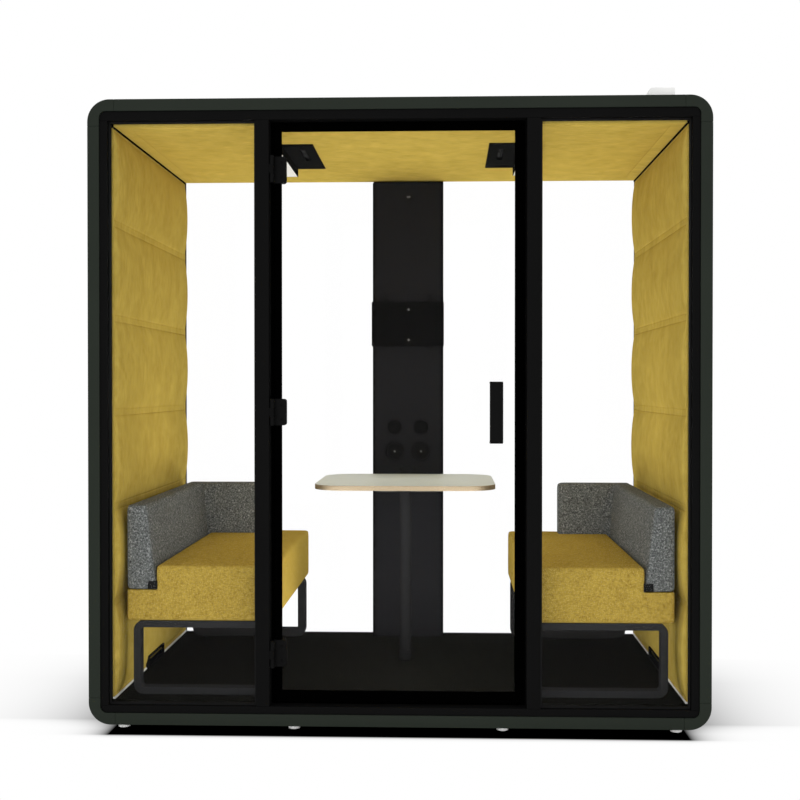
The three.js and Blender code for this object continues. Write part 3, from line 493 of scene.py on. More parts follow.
MAKERS = {
    "shell_coat": lambda name, tones: powder_coat(name, tones.shell, 0.5, 0.08, 0.25),
    "frame_coat": lambda name, tones: powder_coat(name, tones.frame, 0.5, 0.02),
    "hinge_coat": lambda name, tones: powder_coat(name, tones.hinge, 0.45, 0.03, 0.2),
    "bench_coat": lambda name, tones: powder_coat(name, tones.steel, 0.65, 0.0, 0.2),
    "post_coat": lambda name, tones: powder_coat(name, shaded(tones.steel, 0.38), 0.65, 0.0, 0.2),
    "column_coat": lambda name, tones: column_coat(name, tones.column),
    "black_plastic": lambda name, tones: moulded_plastic(name, tones.plastic, 0.42, 0.1),
    "satin_black": lambda name, tones: moulded_plastic(name, shaded(tones.plastic, 0.4), 0.3, 0.02),
    "glossy_black": lambda name, tones: moulded_plastic(name, shaded(tones.plastic, 0.4), 0.2, 0.6),
    "matt_plastic": lambda name, tones: moulded_plastic(name, tones.plastic, 0.6, 0.0),
    "plate_plastic": lambda name, tones: moulded_plastic(name, shaded(tones.plastic, 0.42), 0.6, 0.0),
    "pale_plastic": lambda name, tones: moulded_plastic(name, tones.pale, 0.45, 0.3),
    "white_paint": lambda name, tones: moulded_plastic(name, tones.skirting, 0.5, 0.2),
    "door_rubber": lambda name, tones: glass_print(name),
    "lining_wool": lining_wool,
    # The ceiling's wool is the walls' wool painted 1.2 times brighter, as painted light
    "ceiling_wool": lambda name, tones: lining_wool(name, tones, 1.2),
    "seat_weave": seat_weave,
    "melange_felt": melange_felt,
    "loop_carpet": loop_carpet,
    "clear_glass": lambda name, tones: clear_glass(name),
    "glass_print": lambda name, tones: glass_print(name),
    "rubber": lambda name, tones: rubber(name),
    "table_laminate": table_laminate,
    "plywood_edge": plywood_edge,
    "opal": lambda name, tones: opal(name, tones.diffuser),
    "bright_steel": lambda name, tones: bright_steel(name),
    "stage_floor": lambda name, tones: stage_floor(name, bpy.context.scene.pod_stage),
}


def finish(name):
    made = bpy.data.materials.get(name)
    return made or MAKERS[name](name, bpy.context.scene.pod_colours)


# Mesh tools


def block(low, high):
    made = bmesh.new()
    bmesh.ops.create_cube(made, size=1)
    low, high = Vector(low), Vector(high)
    bmesh.ops.scale(made, vec=high - low, verts=made.verts)
    bmesh.ops.translate(made, vec=(low + high) / 2, verts=made.verts)
    return made


def rounded(made, edges, radius, steps):
    bmesh.ops.bevel(
        made,
        geom=list(edges),
        offset=radius,
        offset_type="OFFSET",
        affect="EDGES",
        segments=steps,
        profile=0.5,
        material=-1,
        clamp_overlap=True,
    )
    return made


def softened(made, radius, steps=2, sharp=35):
    """Rounds every edge that is sharper than an angle"""
    limit = math.radians(sharp)
    edges = [edge for edge in made.edges if edge.is_manifold and edge.calc_face_angle() > limit]
    return rounded(made, edges, radius, steps)


def prism(outline, axis, low, high, steps=8):
    """A straight bar along an axis; each point of its outline is (first, second, corner radius)"""
    made = bmesh.new()
    free = [other for other in (X, Y, Z) if other != axis]
    corners = []
    for point in outline:
        place = Vector((0, 0, 0))
        place[axis], place[free[0]], place[free[1]] = low, point[0], point[1]
        corners.append(made.verts.new(place))
    end = made.faces.new(corners)
    grown = bmesh.ops.extrude_face_region(made, geom=[end])["geom"]
    shift = Vector((0, 0, 0))
    shift[axis] = high - low
    far = [item for item in grown if isinstance(item, bmesh.types.BMVert)]
    bmesh.ops.translate(made, vec=shift, verts=far)
    bmesh.ops.recalc_face_normals(made, faces=made.faces)
    by_radius = {}
    for corner, point in zip(corners, outline):
        radius = point[2] if len(point) > 2 else 0
        if radius:
            along = [edge for edge in corner.link_edges if abs(edge.verts[0].co[axis] - edge.verts[1].co[axis]) > 1e-6]
            by_radius.setdefault(radius, []).extend(along)
    for radius, edges in by_radius.items():
        rounded(made, edges, radius, steps)
    return made


def plate(x0, x1, y0, y1, radius=0.0):
    """Outline of a rectangle with rounded corners"""
    return [(x0, y0, radius), (x1, y0, radius), (x1, y1, radius), (x0, y1, radius)]


def hollow(made, axis, bar):
    """Opens a bar's two ends into a frame whose sides are as wide as the bar's own width"""
    made.normal_update()
    flat = [face for face in made.faces if abs(face.normal[axis]) > 0.99]
    ends = sorted(flat, key=lambda face: -face.calc_area())[:2]
    for end in ends:
        bmesh.ops.inset_region(made, faces=[end], thickness=bar, use_even_offset=True)
    rims = [edge for end in ends for edge in end.edges]
    bmesh.ops.delete(made, geom=ends, context="FACES_ONLY")
    bmesh.ops.bridge_loops(made, edges=rims)
    bmesh.ops.recalc_face_normals(made, faces=made.faces)
    return made


def window(outer_low, outer_high, inner_low, inner_high):
    """A flat frame in the front plane; the corners are (x, y, z) outside and (x, z) inside"""
    made = hollow(block(outer_low, outer_high), Y, 0.001)
    for vert in made.verts:
        inside_x = outer_low[0] + 5e-4 < vert.co.x < outer_high[0] - 5e-4
        if inside_x:
            vert.co.x = inner_low[0] if vert.co.x < (outer_low[0] + outer_high[0]) / 2 else inner_high[0]
            vert.co.z = inner_low[1] if vert.co.z < (outer_low[2] + outer_high[2]) / 2 else inner_high[1]
    return made


def spun(profile, centre, axis, steps=48):
    """A turned piece; the profile's points are (radius, height along the axis)"""
    made = bmesh.new()
    centre, axis = Vector(centre), Vector(axis)
    spoke = axis.orthogonal().normalized()
    verts = [made.verts.new(centre + spoke * radius + axis * height) for radius, height in profile]
    edges = [made.edges.new(pair) for pair in zip(verts, verts[1:])]
    bmesh.ops.spin(
        made,
        geom=verts + edges,
        cent=centre,
        axis=axis,
        dvec=(0, 0, 0),
        angle=2 * math.pi,
        steps=steps,
        use_merge=True,
        use_duplicate=False,
    )
    bmesh.ops.remove_doubles(made, verts=made.verts, dist=1e-6)
    bmesh.ops.recalc_face_normals(made, faces=made.faces)
    return made


def screw(centre, axis, radius):
    """A button head with a round socket"""
    head = [
        (0, 0),
        (radius, 0),
        (radius, radius * 0.16),
        (radius * 0.86, radius * 0.40),
        (radius * 0.62, radius * 0.55),
        (radius * 0.42, radius * 0.60),
        (radius * 0.40, radius * 0.22),
        (0, radius * 0.20),
    ]
    return spun(head, centre, axis, 20)


def painted(made, index):
    for face in made.faces:
        face.material_index = index
    return made


def rimmed(made, centre, reach, index):
    """Gives the faces that lie further from an axis along Y than a reach another finish"""
    for face in made.faces:
        away = face.calc_center_median() - Vector(centre)
        if math.hypot(away.x, away.z) > reach:
            face.material_index = index
    return made


def joined(parts):
    whole = bmesh.new()
    for part in parts:
        mesh = bpy.data.meshes.new("part")
        part.to_mesh(mesh)
        part.free()
        whole.from_mesh(mesh)
        bpy.data.meshes.remove(mesh)
    return whole


def mirrored(mesh, name):
    """A copy on the pod's other side"""
    made = bmesh.new()
    made.from_mesh(mesh)
    bmesh.ops.scale(made, vec=(-1, 1, 1), verts=made.verts)
    bmesh.ops.reverse_faces(made, faces=made.faces)
    other = bpy.data.meshes.new(name)
    made.to_mesh(other)
    made.free()
    return other


def adopt(name, mesh, finishes, body="pod", replaces=(), slot=None, sharp=35, even=True):
    """Makes a mesh a finished piece that rides on a body"""
    made = bpy.data.objects.new(name, mesh)
    bpy.context.scene.collection.objects.link(made)
    mesh.shade_smooth()
    if sharp:
        mesh.set_sharp_from_angle(angle=math.radians(sharp))
    for each in finishes:
        mesh.materials.append(finish(each))
    if even:
        shading = made.modifiers.new("Even shading", "WEIGHTED_NORMAL")
        shading.keep_sharp = True
    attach(made, body)
    if replaces:
        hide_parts(*replaces)
    return made


def piece(name, made, *finishes, **facts):
    mesh = bpy.data.meshes.new(name)
    made.to_mesh(mesh)
    made.free()
    return adopt(name, mesh, finishes, **facts)


def keep(finish_name, *nodes):
    """Gives CAD nodes that stay a better finish"""
    for node in nodes:
        mesh = frame["nodes"][node].data
        mesh.materials.clear()
        mesh.materials.append(finish(finish_name))


# Padded pieces


def spread(total, offsets, step):
    """Places from 0 to total: the offsets at both ends, and even steps between them"""
    first, last = offsets[-1], total - offsets[-1]
    count = max(1, round((last - first) / step))
    middle = [first + (last - first) * index / count for index in range(1, count)]
    return offsets + middle + [total - offset for offset in reversed(offsets)]


def cloth_sheet(columns, rows):
    """A flat grid in X and Y whose lines stand at the given places"""
    made = bmesh.new()
    wide, high = len(columns) - 1, len(rows) - 1
    bmesh.ops.create_grid(made, x_segments=wide, y_segments=high, size=0.5)
    for vert in made.verts:
        column = round((vert.co.x + 0.5) * wide)
        row = round((vert.co.y + 0.5) * high)
        vert.co = (columns[column], rows[row], 0)
    return made


def blown(mesh, held, pressure, frames=20):
    """Runs Cloth with pressure on a mesh whose held points stay, and returns the points it ends at"""
    scene = bpy.context.scene
    cloth = bpy.data.objects.new("cloth", mesh)
    scene.collection.objects.link(cloth)
    swell = cloth.modifiers.new("Swell", "CLOTH")
    settings = swell.settings
    settings.quality = 5
    settings.mass = 0.3
    settings.use_pressure = True
    settings.uniform_pressure_force = pressure
    settings.effector_weights.gravity = 0
    if held:
        group = cloth.vertex_groups.new(name="held")
        group.add(held, 1.0, "REPLACE")
        settings.vertex_group_mass = "held"
    swell.collision_settings.use_collision = False
    swell.point_cache.frame_start = 1
    swell.point_cache.frame_end = frames
    for moment in range(1, frames + 1):
        scene.frame_set(moment)
    swollen = cloth.evaluated_get(bpy.context.evaluated_depsgraph_get())
    places = [vert.co.copy() for vert in swollen.data.vertices]
    bpy.data.objects.remove(cloth)
    bpy.data.meshes.remove(mesh)
    scene.frame_set(1)
    return places


def finer(mesh, name, levels=1):
    """A smoothly subdivided copy of a mesh"""
    holder = bpy.data.objects.new(name, mesh)
    bpy.context.scene.collection.objects.link(holder)
    smooth = holder.modifiers.new("Smooth", "SUBSURF")
    smooth.levels = smooth.render_levels = levels
    smooth.boundary_smooth = "PRESERVE_CORNERS"
    ready = holder.evaluated_get(bpy.context.evaluated_depsgraph_get())
    made = bpy.data.meshes.new_from_object(ready)
    made.name = name
    bpy.data.objects.remove(holder)
    bpy.data.meshes.remove(mesh)
    return made


def cloth_map(mesh):
    """Maps each face flat, in metres, along the two axes that it faces least"""
    layer = mesh.uv_layers.get("cloth") or mesh.uv_layers.new(name="cloth")
    for polygon in mesh.polygons:
        facing = max((X, Y, Z), key=lambda axis: abs(polygon.normal[axis]))
        first, second = [axis for axis in (X, Y, Z) if axis != facing]
        for loop in polygon.loop_indices:
            place = mesh.vertices[mesh.loops[loop].vertex_index].co
            layer.data[loop].uv = (place[first], place[second])
    return mesh


def backed(mesh, depth):
    """Closes a sheet in X and Y into a pad: its rims go down to a flat back"""
    made = bmesh.new()
    made.from_mesh(mesh)
    rims = [edge for edge in made.edges if edge.is_boundary]
    grown = bmesh.ops.extrude_edge_only(made, edges=rims)["geom"]
    for item in grown:
        if isinstance(item, bmesh.types.BMVert):
            item.co.z = -depth
    back = [item for item in grown if isinstance(item, bmesh.types.BMEdge)]
    bmesh.ops.triangle_fill(made, edges=back, use_beauty=True)
    bmesh.ops.recalc_face_normals(made, faces=made.faces)
    made.to_mesh(mesh)
    made.free()
    return mesh


def corner_reach(place, low, high, radius):
    """How far a point lies inside a rounded rectangle's outline; below 0 it lies outside"""
    across = min(place[0] - low[0], high[0] - place[0])
    along = min(place[1] - low[1], high[1] - place[1])
    if across < radius and along < radius:
        return radius - math.hypot(radius - across, radius - along)
    return min(across, along)


def opened(mesh, openings):
    """Cuts rectangles, each (low corner, high corner), out of a sheet in X and Y"""
    made = bmesh.new()
    made.from_mesh(mesh)
    for low, high in openings:
        for place, normal in (
            ((low[0], 0, 0), (1, 0, 0)),
            ((high[0], 0, 0), (1, 0, 0)),
            ((0, low[1], 0), (0, 1, 0)),
            ((0, high[1], 0), (0, 1, 0)),
        ):
            whole = list(made.verts) + list(made.edges) + list(made.faces)
            bmesh.ops.bisect_plane(made, geom=whole, plane_co=place, plane_no=normal, dist=1e-5)
        inside = []
        for face in made.faces:
            centre = face.calc_center_median()
            if low[0] < centre.x < high[0] and low[1] < centre.y < high[1]:
                inside.append(face)
        bmesh.ops.delete(made, geom=inside, context="FACES")
    made.to_mesh(mesh)
    made.free()
    return mesh


def sewn_pad(columns, rows, fields, corner, crown, seam, pressure, power, ends=0.0):
    """A sheet that swells inside its sewn fields; each field is (low corner, high corner). With ends, each
    row swells as much all along as in its middle and is rounded off over that length at both ends"""
    made = cloth_sheet(columns, rows)
    made.verts.ensure_lookup_table()

    def reach(place):
        return max(corner_reach(place, low, high, corner) for low, high in fields)

    near = 0.0016
    held, sewn = [], []
    for index, vert in enumerate(made.verts):
        inside = reach(vert.co)
        if inside < near:
            held.append(index)
            if inside > -near:
                sewn.append(index)
    mesh = bpy.data.meshes.new("pad")
    made.to_mesh(mesh)
    made.free()
    places = blown(mesh.copy(), held, pressure)
    tallest = max(place.z for place in places)
    middles = {}
    for vert, place in zip(mesh.vertices, places):
        row = round(vert.co.y, 5)
        middles[row] = max(middles.get(row, 0.0), place.z)
    low, high = fields[0]
    for vert, place in zip(mesh.vertices, places):
        share = max(0.0, place.z) / tallest
        if ends:
            inset = min(vert.co.x - low[0], high[0] - vert.co.x) / ends
            inset = min(1.0, max(0.0, inset))
            share = middles[round(vert.co.y, 5)] / tallest * math.sqrt(inset * (2 - inset))
        drift = Vector((place.x - vert.co.x, place.y - vert.co.y, 0))
        if drift.length > 0.002:
            drift *= 0.002 / drift.length
        vert.co += drift
        vert.co.z = crown * share**power
    for index in sewn:
        mesh.vertices[index].co.z -= seam
    return finer(mesh, "pad")


def near_edges(low, high, step):
    """Grid lines from low to high that lie close together near both ends"""
    return [low + place for place in spread(high - low, [0, 0.0025, 0.007, 0.015, 0.028], step)]


def stepped_block(columns, rows, levels, upper, plan=None):
    """A grid in X and Y, kept where plan(place) is true and grown up to the second level, and then to the
    third one where upper(place) is true"""
    made = cloth_sheet(columns, rows)
    bmesh.ops.translate(made, vec=(0, 0, levels[0]), verts=made.verts)
    if plan:
        spare = [face for face in made.faces if not plan(face.calc_center_median())]
        bmesh.ops.delete(made, geom=spare, context="FACES")
    region = list(made.faces)
    for bottom, top in zip(levels, levels[1:]):
        grown = bmesh.ops.extrude_face_region(made, geom=region)["geom"]
        verts = [item for item in grown if isinstance(item, bmesh.types.BMVert)]
        bmesh.ops.translate(made, vec=(0, 0, top - bottom), verts=verts)
        faces = [item for item in grown if isinstance(item, bmesh.types.BMFace)]
        if bottom > levels[0]:
            bmesh.ops.delete(made, geom=region, context="FACES")
        region = [face for face in faces if upper and upper(face.calc_center_median())]
    bmesh.ops.recalc_face_normals(made, faces=made.faces)
    for bottom, top in zip(levels, levels[1:]):
        for level in near_edges(bottom, top, 0.022)[1:-1]:
            whole = list(made.verts) + list(made.edges) + list(made.faces)
            bmesh.ops.bisect_plane(made, geom=whole, plane_co=(0, 0, level), plane_no=(0, 0, 1), dist=1e-5)
    return made


def eased(place, low, high, radius):
    """Moves a point on a box onto the same box with rounded edges"""
    core = Vector([min(max(place[axis], low[axis] + radius), high[axis] - radius) for axis in (X, Y, Z)])
    out = place - core
    if max(abs(level) for level in out) < radius - 1e-5:
        return place
    return core + out.normalized() * radius


def cushion(made, crown, pressure, resting, soft, lean):
    """Swells a block between its sewn edges; a face for which resting(normal, place) is true stays flat,
    soft(place) rounds the block's edges and lean(place) leans it"""
    straight = [vert.co.copy() for vert in made.verts]
    for vert in made.verts:
        vert.co = lean(vert.co)
    made.normal_update()
    made.verts.index_update()
    held = set()
    for edge in made.edges:
        if edge.calc_face_angle(0) > math.radians(50):
            held.update(vert.index for vert in edge.verts)
    for face in made.faces:
        if resting(face.normal, face.calc_center_median()):
            held.update(vert.index for vert in face.verts)
    mesh = bpy.data.meshes.new("cushion")
    made.to_mesh(mesh)
    made.free()
    moves = [Vector((0, 0, 0)) for place in straight]
    places = blown(mesh.copy(), sorted(held), pressure)
    moves = [place - vert.co for vert, place in zip(mesh.vertices, places)]
    scale = crown / max(move.length for move in moves)
    moves = [move * scale for move in moves]
    for vert, place, move in zip(mesh.vertices, straight, moves):
        vert.co = lean(soft(place)) + move
    return finer(mesh, "cushion")


def welt(name, surface, path, radius, **facts):
    """A sewn welt: a thin tube that lies along a path on a cushion's surface"""
    tree = BVHTree.FromPolygons(
        [vert.co for vert in surface.vertices], [tuple(face.vertices) for face in surface.polygons]
    )
    line = bpy.data.curves.new(name, "CURVE")
    line.dimensions = "3D"
    line.bevel_depth = radius
    line.bevel_resolution = 2
    line.use_fill_caps = True
    for stretch in path:
        points = []
        for start, end in zip(stretch, stretch[1:]):
            start, end = Vector(start), Vector(end)
            count = max(1, round((end - start).length / 0.012))
            points += [start.lerp(end, index / count) for index in range(count)]
        points.append(Vector(stretch[-1]))
        spline = line.splines.new("POLY")
        spline.points.add(len(points) - 1)
        for target, point in zip(spline.points, points):
            target.co = (*tree.find_nearest(point)[0], 1)
    holder = bpy.data.objects.new(name, line)
    bpy.context.scene.collection.objects.link(holder)
    mesh = bpy.data.meshes.new_from_object(holder.evaluated_get(bpy.context.evaluated_depsgraph_get()))
    bpy.data.objects.remove(holder)
    bpy.data.curves.remove(line)
    mesh.name = name
    made = bmesh.new()
    made.from_mesh(mesh)
    bmesh.ops.remove_doubles(made, verts=made.verts, dist=1e-6)
    made.to_mesh(mesh)
    made.free()
    return adopt(name, cloth_map(mesh), sharp=0, even=False, **facts)


# Operators


class PodOperator(bpy.types.Operator):
    """Shared by the operators below"""

    bl_options = {"REGISTER", "UNDO"}

    def execute(self, context):
        scene = context.scene
        self.build(scene.pod_sizes, scene)
        return {"FINISHED"}


class POD_OT_stage(PodOperator):
    """Camera, even light, soft lamps and a pale floor with a painted shadow"""

    bl_idname = "pod.stage"
    bl_label = "Stage"

    def build(self, sizes, scene):
        stage = scene.pod_stage
        camera = bpy.data.objects.new("camera", bpy.data.cameras.new("camera"))
        scene.collection.objects.link(camera)
        camera.location = stage.camera_place
        camera.rotation_euler = (math.pi / 2 + stage.camera_pitch, 0, stage.camera_yaw)
        camera.data.sensor_width = 36
        camera.data.lens = stage.camera_lens
        scene.camera = camera
        scene.view_settings.view_transform = "Standard"
        self.sky(scene, stage.sky)
        middle = Vector((0, 0, 1.2))
        top = Vector((0, 0, 2.2))
        self.lamp(scene, "key_lamp", (-0.3, -5.6, 1.2), middle, (5.0, 3.0), stage.key)
        low = self.lamp(scene, "low_lamp_front", (0, -2.3, 0.06), top, (3.0, 0.7), stage.low_front)
        low.visible_glossy = True
        self.lamp(scene, "low_lamp_back", (0, 2.3, 0.06), top, (2.8, 0.7), stage.low_back)
        for name, place, target, size, share, spread in (
            ("fill_left", (0.30, -0.36, 0.66), (-1, -0.2, 0.80), (0.4, 0.3), 0.88, 180),
            ("fill_right", (-0.30, -0.36, 0.66), (1, -0.2, 0.80), (0.4, 0.3), 0.88, 180),
            ("fill_aisle", (0, -0.39, 0.11), (0, -0.39, 2), (0.8, 0.44), 0.9, 180),
            ("fill_rise", (0, 0.05, 0.87), (0, 0.05, 2), (1.8, 0.5), 0.65, 180),
            ("fill_foot", (0, 0.30, 0.45), (0, 0.56, 0.45), (0.3, 0.5), 0.14, 180),
            ("fill_table", (0, 0.22, 2.1), (0, 0.22, 0), (0.6, 0.5), 0.25, 75),
            ("fill_low_left", (-0.10, -0.22, 0.24), (-1.04, -0.22, 0.24), (0.6, 0.16), 0.10, 50),
            ("fill_low_right", (0.10, -0.22, 0.24), (1.04, -0.22, 0.24), (0.6, 0.16), 0.08, 50),
        ):
            lamp = self.lamp(scene, name, place, Vector(target), size, stage.fill * share)
            lamp.data.spread = math.radians(spread)
        floor = bmesh.new()
        bmesh.ops.create_grid(floor, x_segments=8, y_segments=8, size=30)
        mesh = bpy.data.meshes.new("stage_floor")
        floor.to_mesh(mesh)
        floor.free()
        mesh.materials.append(finish("stage_floor"))
        ground = bpy.data.objects.new("stage_floor", mesh)
        scene.collection.objects.link(ground)

    @staticmethod
    def sky(scene, strength):
        scene.world = bpy.data.worlds.new("sky")
        scene.world.use_nodes = True
        tree = scene.world.node_tree
        tree.nodes.clear()
        made = Finish("sky", tree)
        rays = [made.node("LightPath", output="Is %s Ray" % kind) for kind in ("Camera", "Glossy", "Transmission")]
        seen = (rays[0] + rays[1] + rays[2]).at_most(1.0)
        light = made.node("Background", None, {"Color": (1, 1, 1), "Strength": strength})
        white = made.node("Background", None, {"Color": (1, 1, 1), "Strength": 1.0})
        both = made.node("MixShader", None, {0: seen, 1: light, 2: white})
        output = tree.nodes.new("ShaderNodeOutputWorld")
        made.feed(output.inputs["Surface"], both)

    @staticmethod
    def lamp(scene, name, place, target, size, power):
        light = bpy.data.lights.new(name, "AREA")
        light.shape = "RECTANGLE"
        light.size, light.size_y = size
        light.energy = power
        lamp = bpy.data.objects.new(name, light)
        scene.collection.objects.link(lamp)
        lamp.location = place
        lamp.rotation_euler = (target - Vector(place)).to_track_quat("-Z", "Y").to_euler()
        lamp.visible_camera = False
        lamp.visible_glossy = False
        lamp.visible_transmission = False
        return lamp


class POD_OT_shell(PodOperator):
    """Wall, roof and base panels between four rounded corner profiles"""

    bl_idname = "pod.shell"
    bl_label = "Shell"

    def build(self, sizes, scene):
        facts = {"slot": "shell"}
        for node in ("wall_panel_left", "wall_panel_right", "roof_panel", "base_panel"):
            made = softened(block(*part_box(node)), sizes.shell_edge, 3)
            piece("shell_" + node, made, "shell_coat", replaces=(node,), **facts)
        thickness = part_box("roof_panel")[1].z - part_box("roof_panel")[0].z
        for word, side in SIDES:
            for level, sign in (("top", 1), ("bottom", -1)):
                node = "corner_profile_%s_%s" % (level, word)
                low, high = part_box(node)
                outer_x = high.x if side > 0 else low.x
                outer_z = high.z if sign > 0 else low.z
                leg = high.x - low.x

                def place(from_side, from_end, radius=0.0):
                    return outer_x - side * from_side, outer_z - sign * from_end, radius

                outline = [
                    place(leg, 0),
                    place(0, 0, sizes.outer_corner),
                    place(0, leg),
                    place(thickness, leg),
                    place(thickness, thickness, sizes.inner_corner),
                    place(leg, thickness),
                ]
                made = softened(prism(outline, Y, low.y, high.y, 16), sizes.shell_edge, 3)
                piece("shell_" + node, made, "shell_coat", replaces=(node,), **facts)


class POD_OT_feet(PodOperator):
    """Levelling feet: a pad, a locking nut and a threaded stem"""

    bl_idname = "pod.feet"
    bl_label = "Levelling feet"

    def build(self, sizes, scene):
        for row in ("front", "back"):
            for number in range(1, 5):
                node = "foot_%s_%d" % (row, number)
                low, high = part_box(node)
                centre = ((low.x + high.x) / 2, (low.y + high.y) / 2, 0)
                radius = (high.x - low.x) / 2
                pad = [
                    (0, 0),
                    (radius - 0.0022, 0),
                    (radius - 0.0006, 0.0007),
                    (radius, 0.0024),
                    (radius, 0.0090),
                    (radius - 0.0012, 0.0112),
                    (radius - 0.0036, 0.0122),
                    (0.0148, 0.0134),
                    (0.0138, 0.0146),
                    (0, 0.0146),
                ]
                stem = [(0, 0.0140), (0.0058, 0.0140)]
                turns = 16
                pitch = (high.z - 0.0205) / turns
                for turn in range(turns):
                    foot = 0.0200 + turn * pitch
                    stem += [(0.0058, foot), (0.0049, foot + pitch / 2)]
                stem += [(0.0049, high.z), (0, high.z)]
                nut = bmesh.new()
                ring = bmesh.ops.create_circle(nut, cap_ends=True, radius=0.0132, segments=6)["verts"]
                face = ring[0].link_faces[0]
                grown = bmesh.ops.extrude_face_region(nut, geom=[face])["geom"]
                far = [item for item in grown if isinstance(item, bmesh.types.BMVert)]
                bmesh.ops.translate(nut, vec=(0, 0, 0.0050), verts=far)
                bmesh.ops.recalc_face_normals(nut, faces=nut.faces)
                bmesh.ops.translate(nut, vec=(centre[0], centre[1], 0.0146), verts=nut.verts)
                softened(nut, 0.0007)
                made = joined(
                    [
                        spun(pad, centre, (0, 0, 1)),
                        painted(spun(stem, centre, (0, 0, 1), 24), 1),
                        painted(nut, 1),
                    ]
                )
                piece(
                    "levelling_" + node,
                    made,
                    "pale_plastic",
                    "bright_steel",
                    body="levelling_" + node,
                    replaces=(node,),
                    slot="foot",
                )


class POD_OT_frames(PodOperator):
    """Front and back frames with rubber beads round the panes and seals round the doorway"""

    bl_idname = "pod.frames"
    bl_label = "Frames and seals"

    def build(self, sizes, scene):
        keep("frame_coat", "front_head_rail", "front_sill", "front_stile_left", "front_stile_right")
        keep("frame_coat", "mullion_left", "mullion_right", "back_frame")
        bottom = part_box("front_sill")[1].z
        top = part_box("front_head_rail")[0].z
        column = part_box("media_column")[1].x
        for word, side in SIDES:
            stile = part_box("front_stile_" + word)
            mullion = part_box("mullion_" + word)
            outer = stile[0].x if side > 0 else stile[1].x
            inner = mullion[1].x if side > 0 else mullion[0].x
            front, back = sorted((inner, outer)), sorted((side * column, outer))
            self.beads(sizes.bead, "front_" + word, "front_glass_" + word, front, bottom, top)
            self.beads(sizes.bead / 4, "back_" + word, "back_glass_" + word, back, bottom, top)
        self.doorway(bottom, top)

    @staticmethod
    def beads(width, name, glass, span, bottom, top):
        low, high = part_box(glass)
        depth = 0.005
        for face, near, far in (("outer", low.y - depth, low.y), ("inner", high.y, high.y + depth)):
            made = hollow(block((span[0], near, bottom), (span[1], far, top)), Y, width)
            piece("glazing_bead_%s_%s" % (name, face), softened(made, width / 5), "rubber", slot="frame")

    @staticmethod
    def doorway(bottom, top):
        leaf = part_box("door_glass")
        frame_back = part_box("front_stile_left")[1].y
        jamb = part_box("mullion_left")
        edge = jamb[0].x + 0.0505
        strips = {
            "head": ((edge, leaf[1].y + 0.002, leaf[1].z - 0.008), (leaf[1].x, frame_back - 0.0005, top)),
            "sill": ((edge, leaf[1].y + 0.002, bottom), (leaf[1].x, frame_back - 0.0005, leaf[0].z + 0.006)),
            "hinge": (
                (jamb[0].x + 0.012, frame_back + 0.0006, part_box("carpet_floor")[1].z + 0.0004),
                (leaf[0].x + 0.006, frame_back + 0.0046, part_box("wall_pad_left")[1].z - 0.001),
            ),
        }
        for word, (low, high) in strips.items():
            piece("door_seal_" + word, softened(block(low, high), 0.0012), "door_rubber", slot="frame")


class POD_OT_glass(PodOperator):
    """Clear panes, and the black print round the door leaf"""

    bl_idname = "pod.glass"
    bl_label = "Glass"

    def build(self, sizes, scene):
        keep("clear_glass", "front_glass_left", "front_glass_right", "back_glass_left", "back_glass_right")
        keep("clear_glass", "door_glass")
        low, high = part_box("door_glass")
        inset = 0.0012
        thickness = 0.0003
        inner_low = (low.x + sizes.print_hinge, low.z + sizes.print_bottom)
        inner_high = (high.x - sizes.print_side, high.z - sizes.print_top)
        for word, near in (("front", low.y - thickness), ("back", high.y)):
            made = window(
                (low.x + inset, near, low.z + inset),
                (high.x - inset, near + thickness, high.z - inset),
                inner_low,
                inner_high,
            )
            piece("door_print_" + word, made, "glass_print", body="door", slot="frame", even=False)


class POD_OT_door(PodOperator):
    """Hinge clamps and the pull handle"""

    bl_idname = "pod.door"
    bl_label = "Door fittings"

    def build(self, sizes, scene):
        for level in ("top", "middle", "bottom"):
            node = "hinge_clamp_" + level
            keep("hinge_coat", node)
            low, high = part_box(node)
            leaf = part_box("door_glass")
            heads = []
            for height in (low.z + 0.022, high.z - 0.022):
                heads.append(screw((leaf[0].x + 0.026, leaf[0].y - 0.0083, height), (0, -1, 0), 0.0048))
            piece("hinge_screws_" + level, joined(heads), "matt_plastic", body="door", slot="hinge")
        low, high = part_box("door_handle")
        bar, bend = 0.008, 0.013
        outline = [
            (high.y, low.z),
            (low.y, low.z, bend),
            (low.y, high.z, bend),
            (high.y, high.z),
            (high.y, high.z - bar),
            (low.y + bar, high.z - bar, bend - bar),
            (low.y + bar, low.z + bar, bend - bar),
            (high.y, low.z + bar),
        ]
        made = softened(prism(outline, X, low.x, high.x, 10), 0.0032, 4)
        piece("pull_handle", made, "hinge_coat", body="door", replaces=("door_handle",), slot="handle")


class POD_OT_floor(PodOperator):
    """Carpet on the raised floor, and the pale skirting at the walls"""

    bl_idname = "pod.floor"
    bl_label = "Carpet and skirting"

    def build(self, sizes, scene):
        low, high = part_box("carpet_floor")
        piece(
            "carpet",
            softened(block(low, high), 0.003, 3),
            "loop_carpet",
            replaces=("carpet_floor",),
            slot="carpet",
        )
        for word, side in SIDES:
            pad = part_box("wall_pad_" + word)
            back = pad[1].x if side > 0 else pad[0].x
            face = abs(back) - sizes.pad_depth - 0.003
            x0, x1 = sorted((side * face, side * (abs(back) - 0.001)))
            made = block((x0, pad[0].y + 0.002, high.z + 0.0003), (x1, pad[1].y - 0.002, pad[0].z - 0.0006))
            piece("skirting_" + word, softened(made, 0.001), "white_paint", slot="wall_fabric")


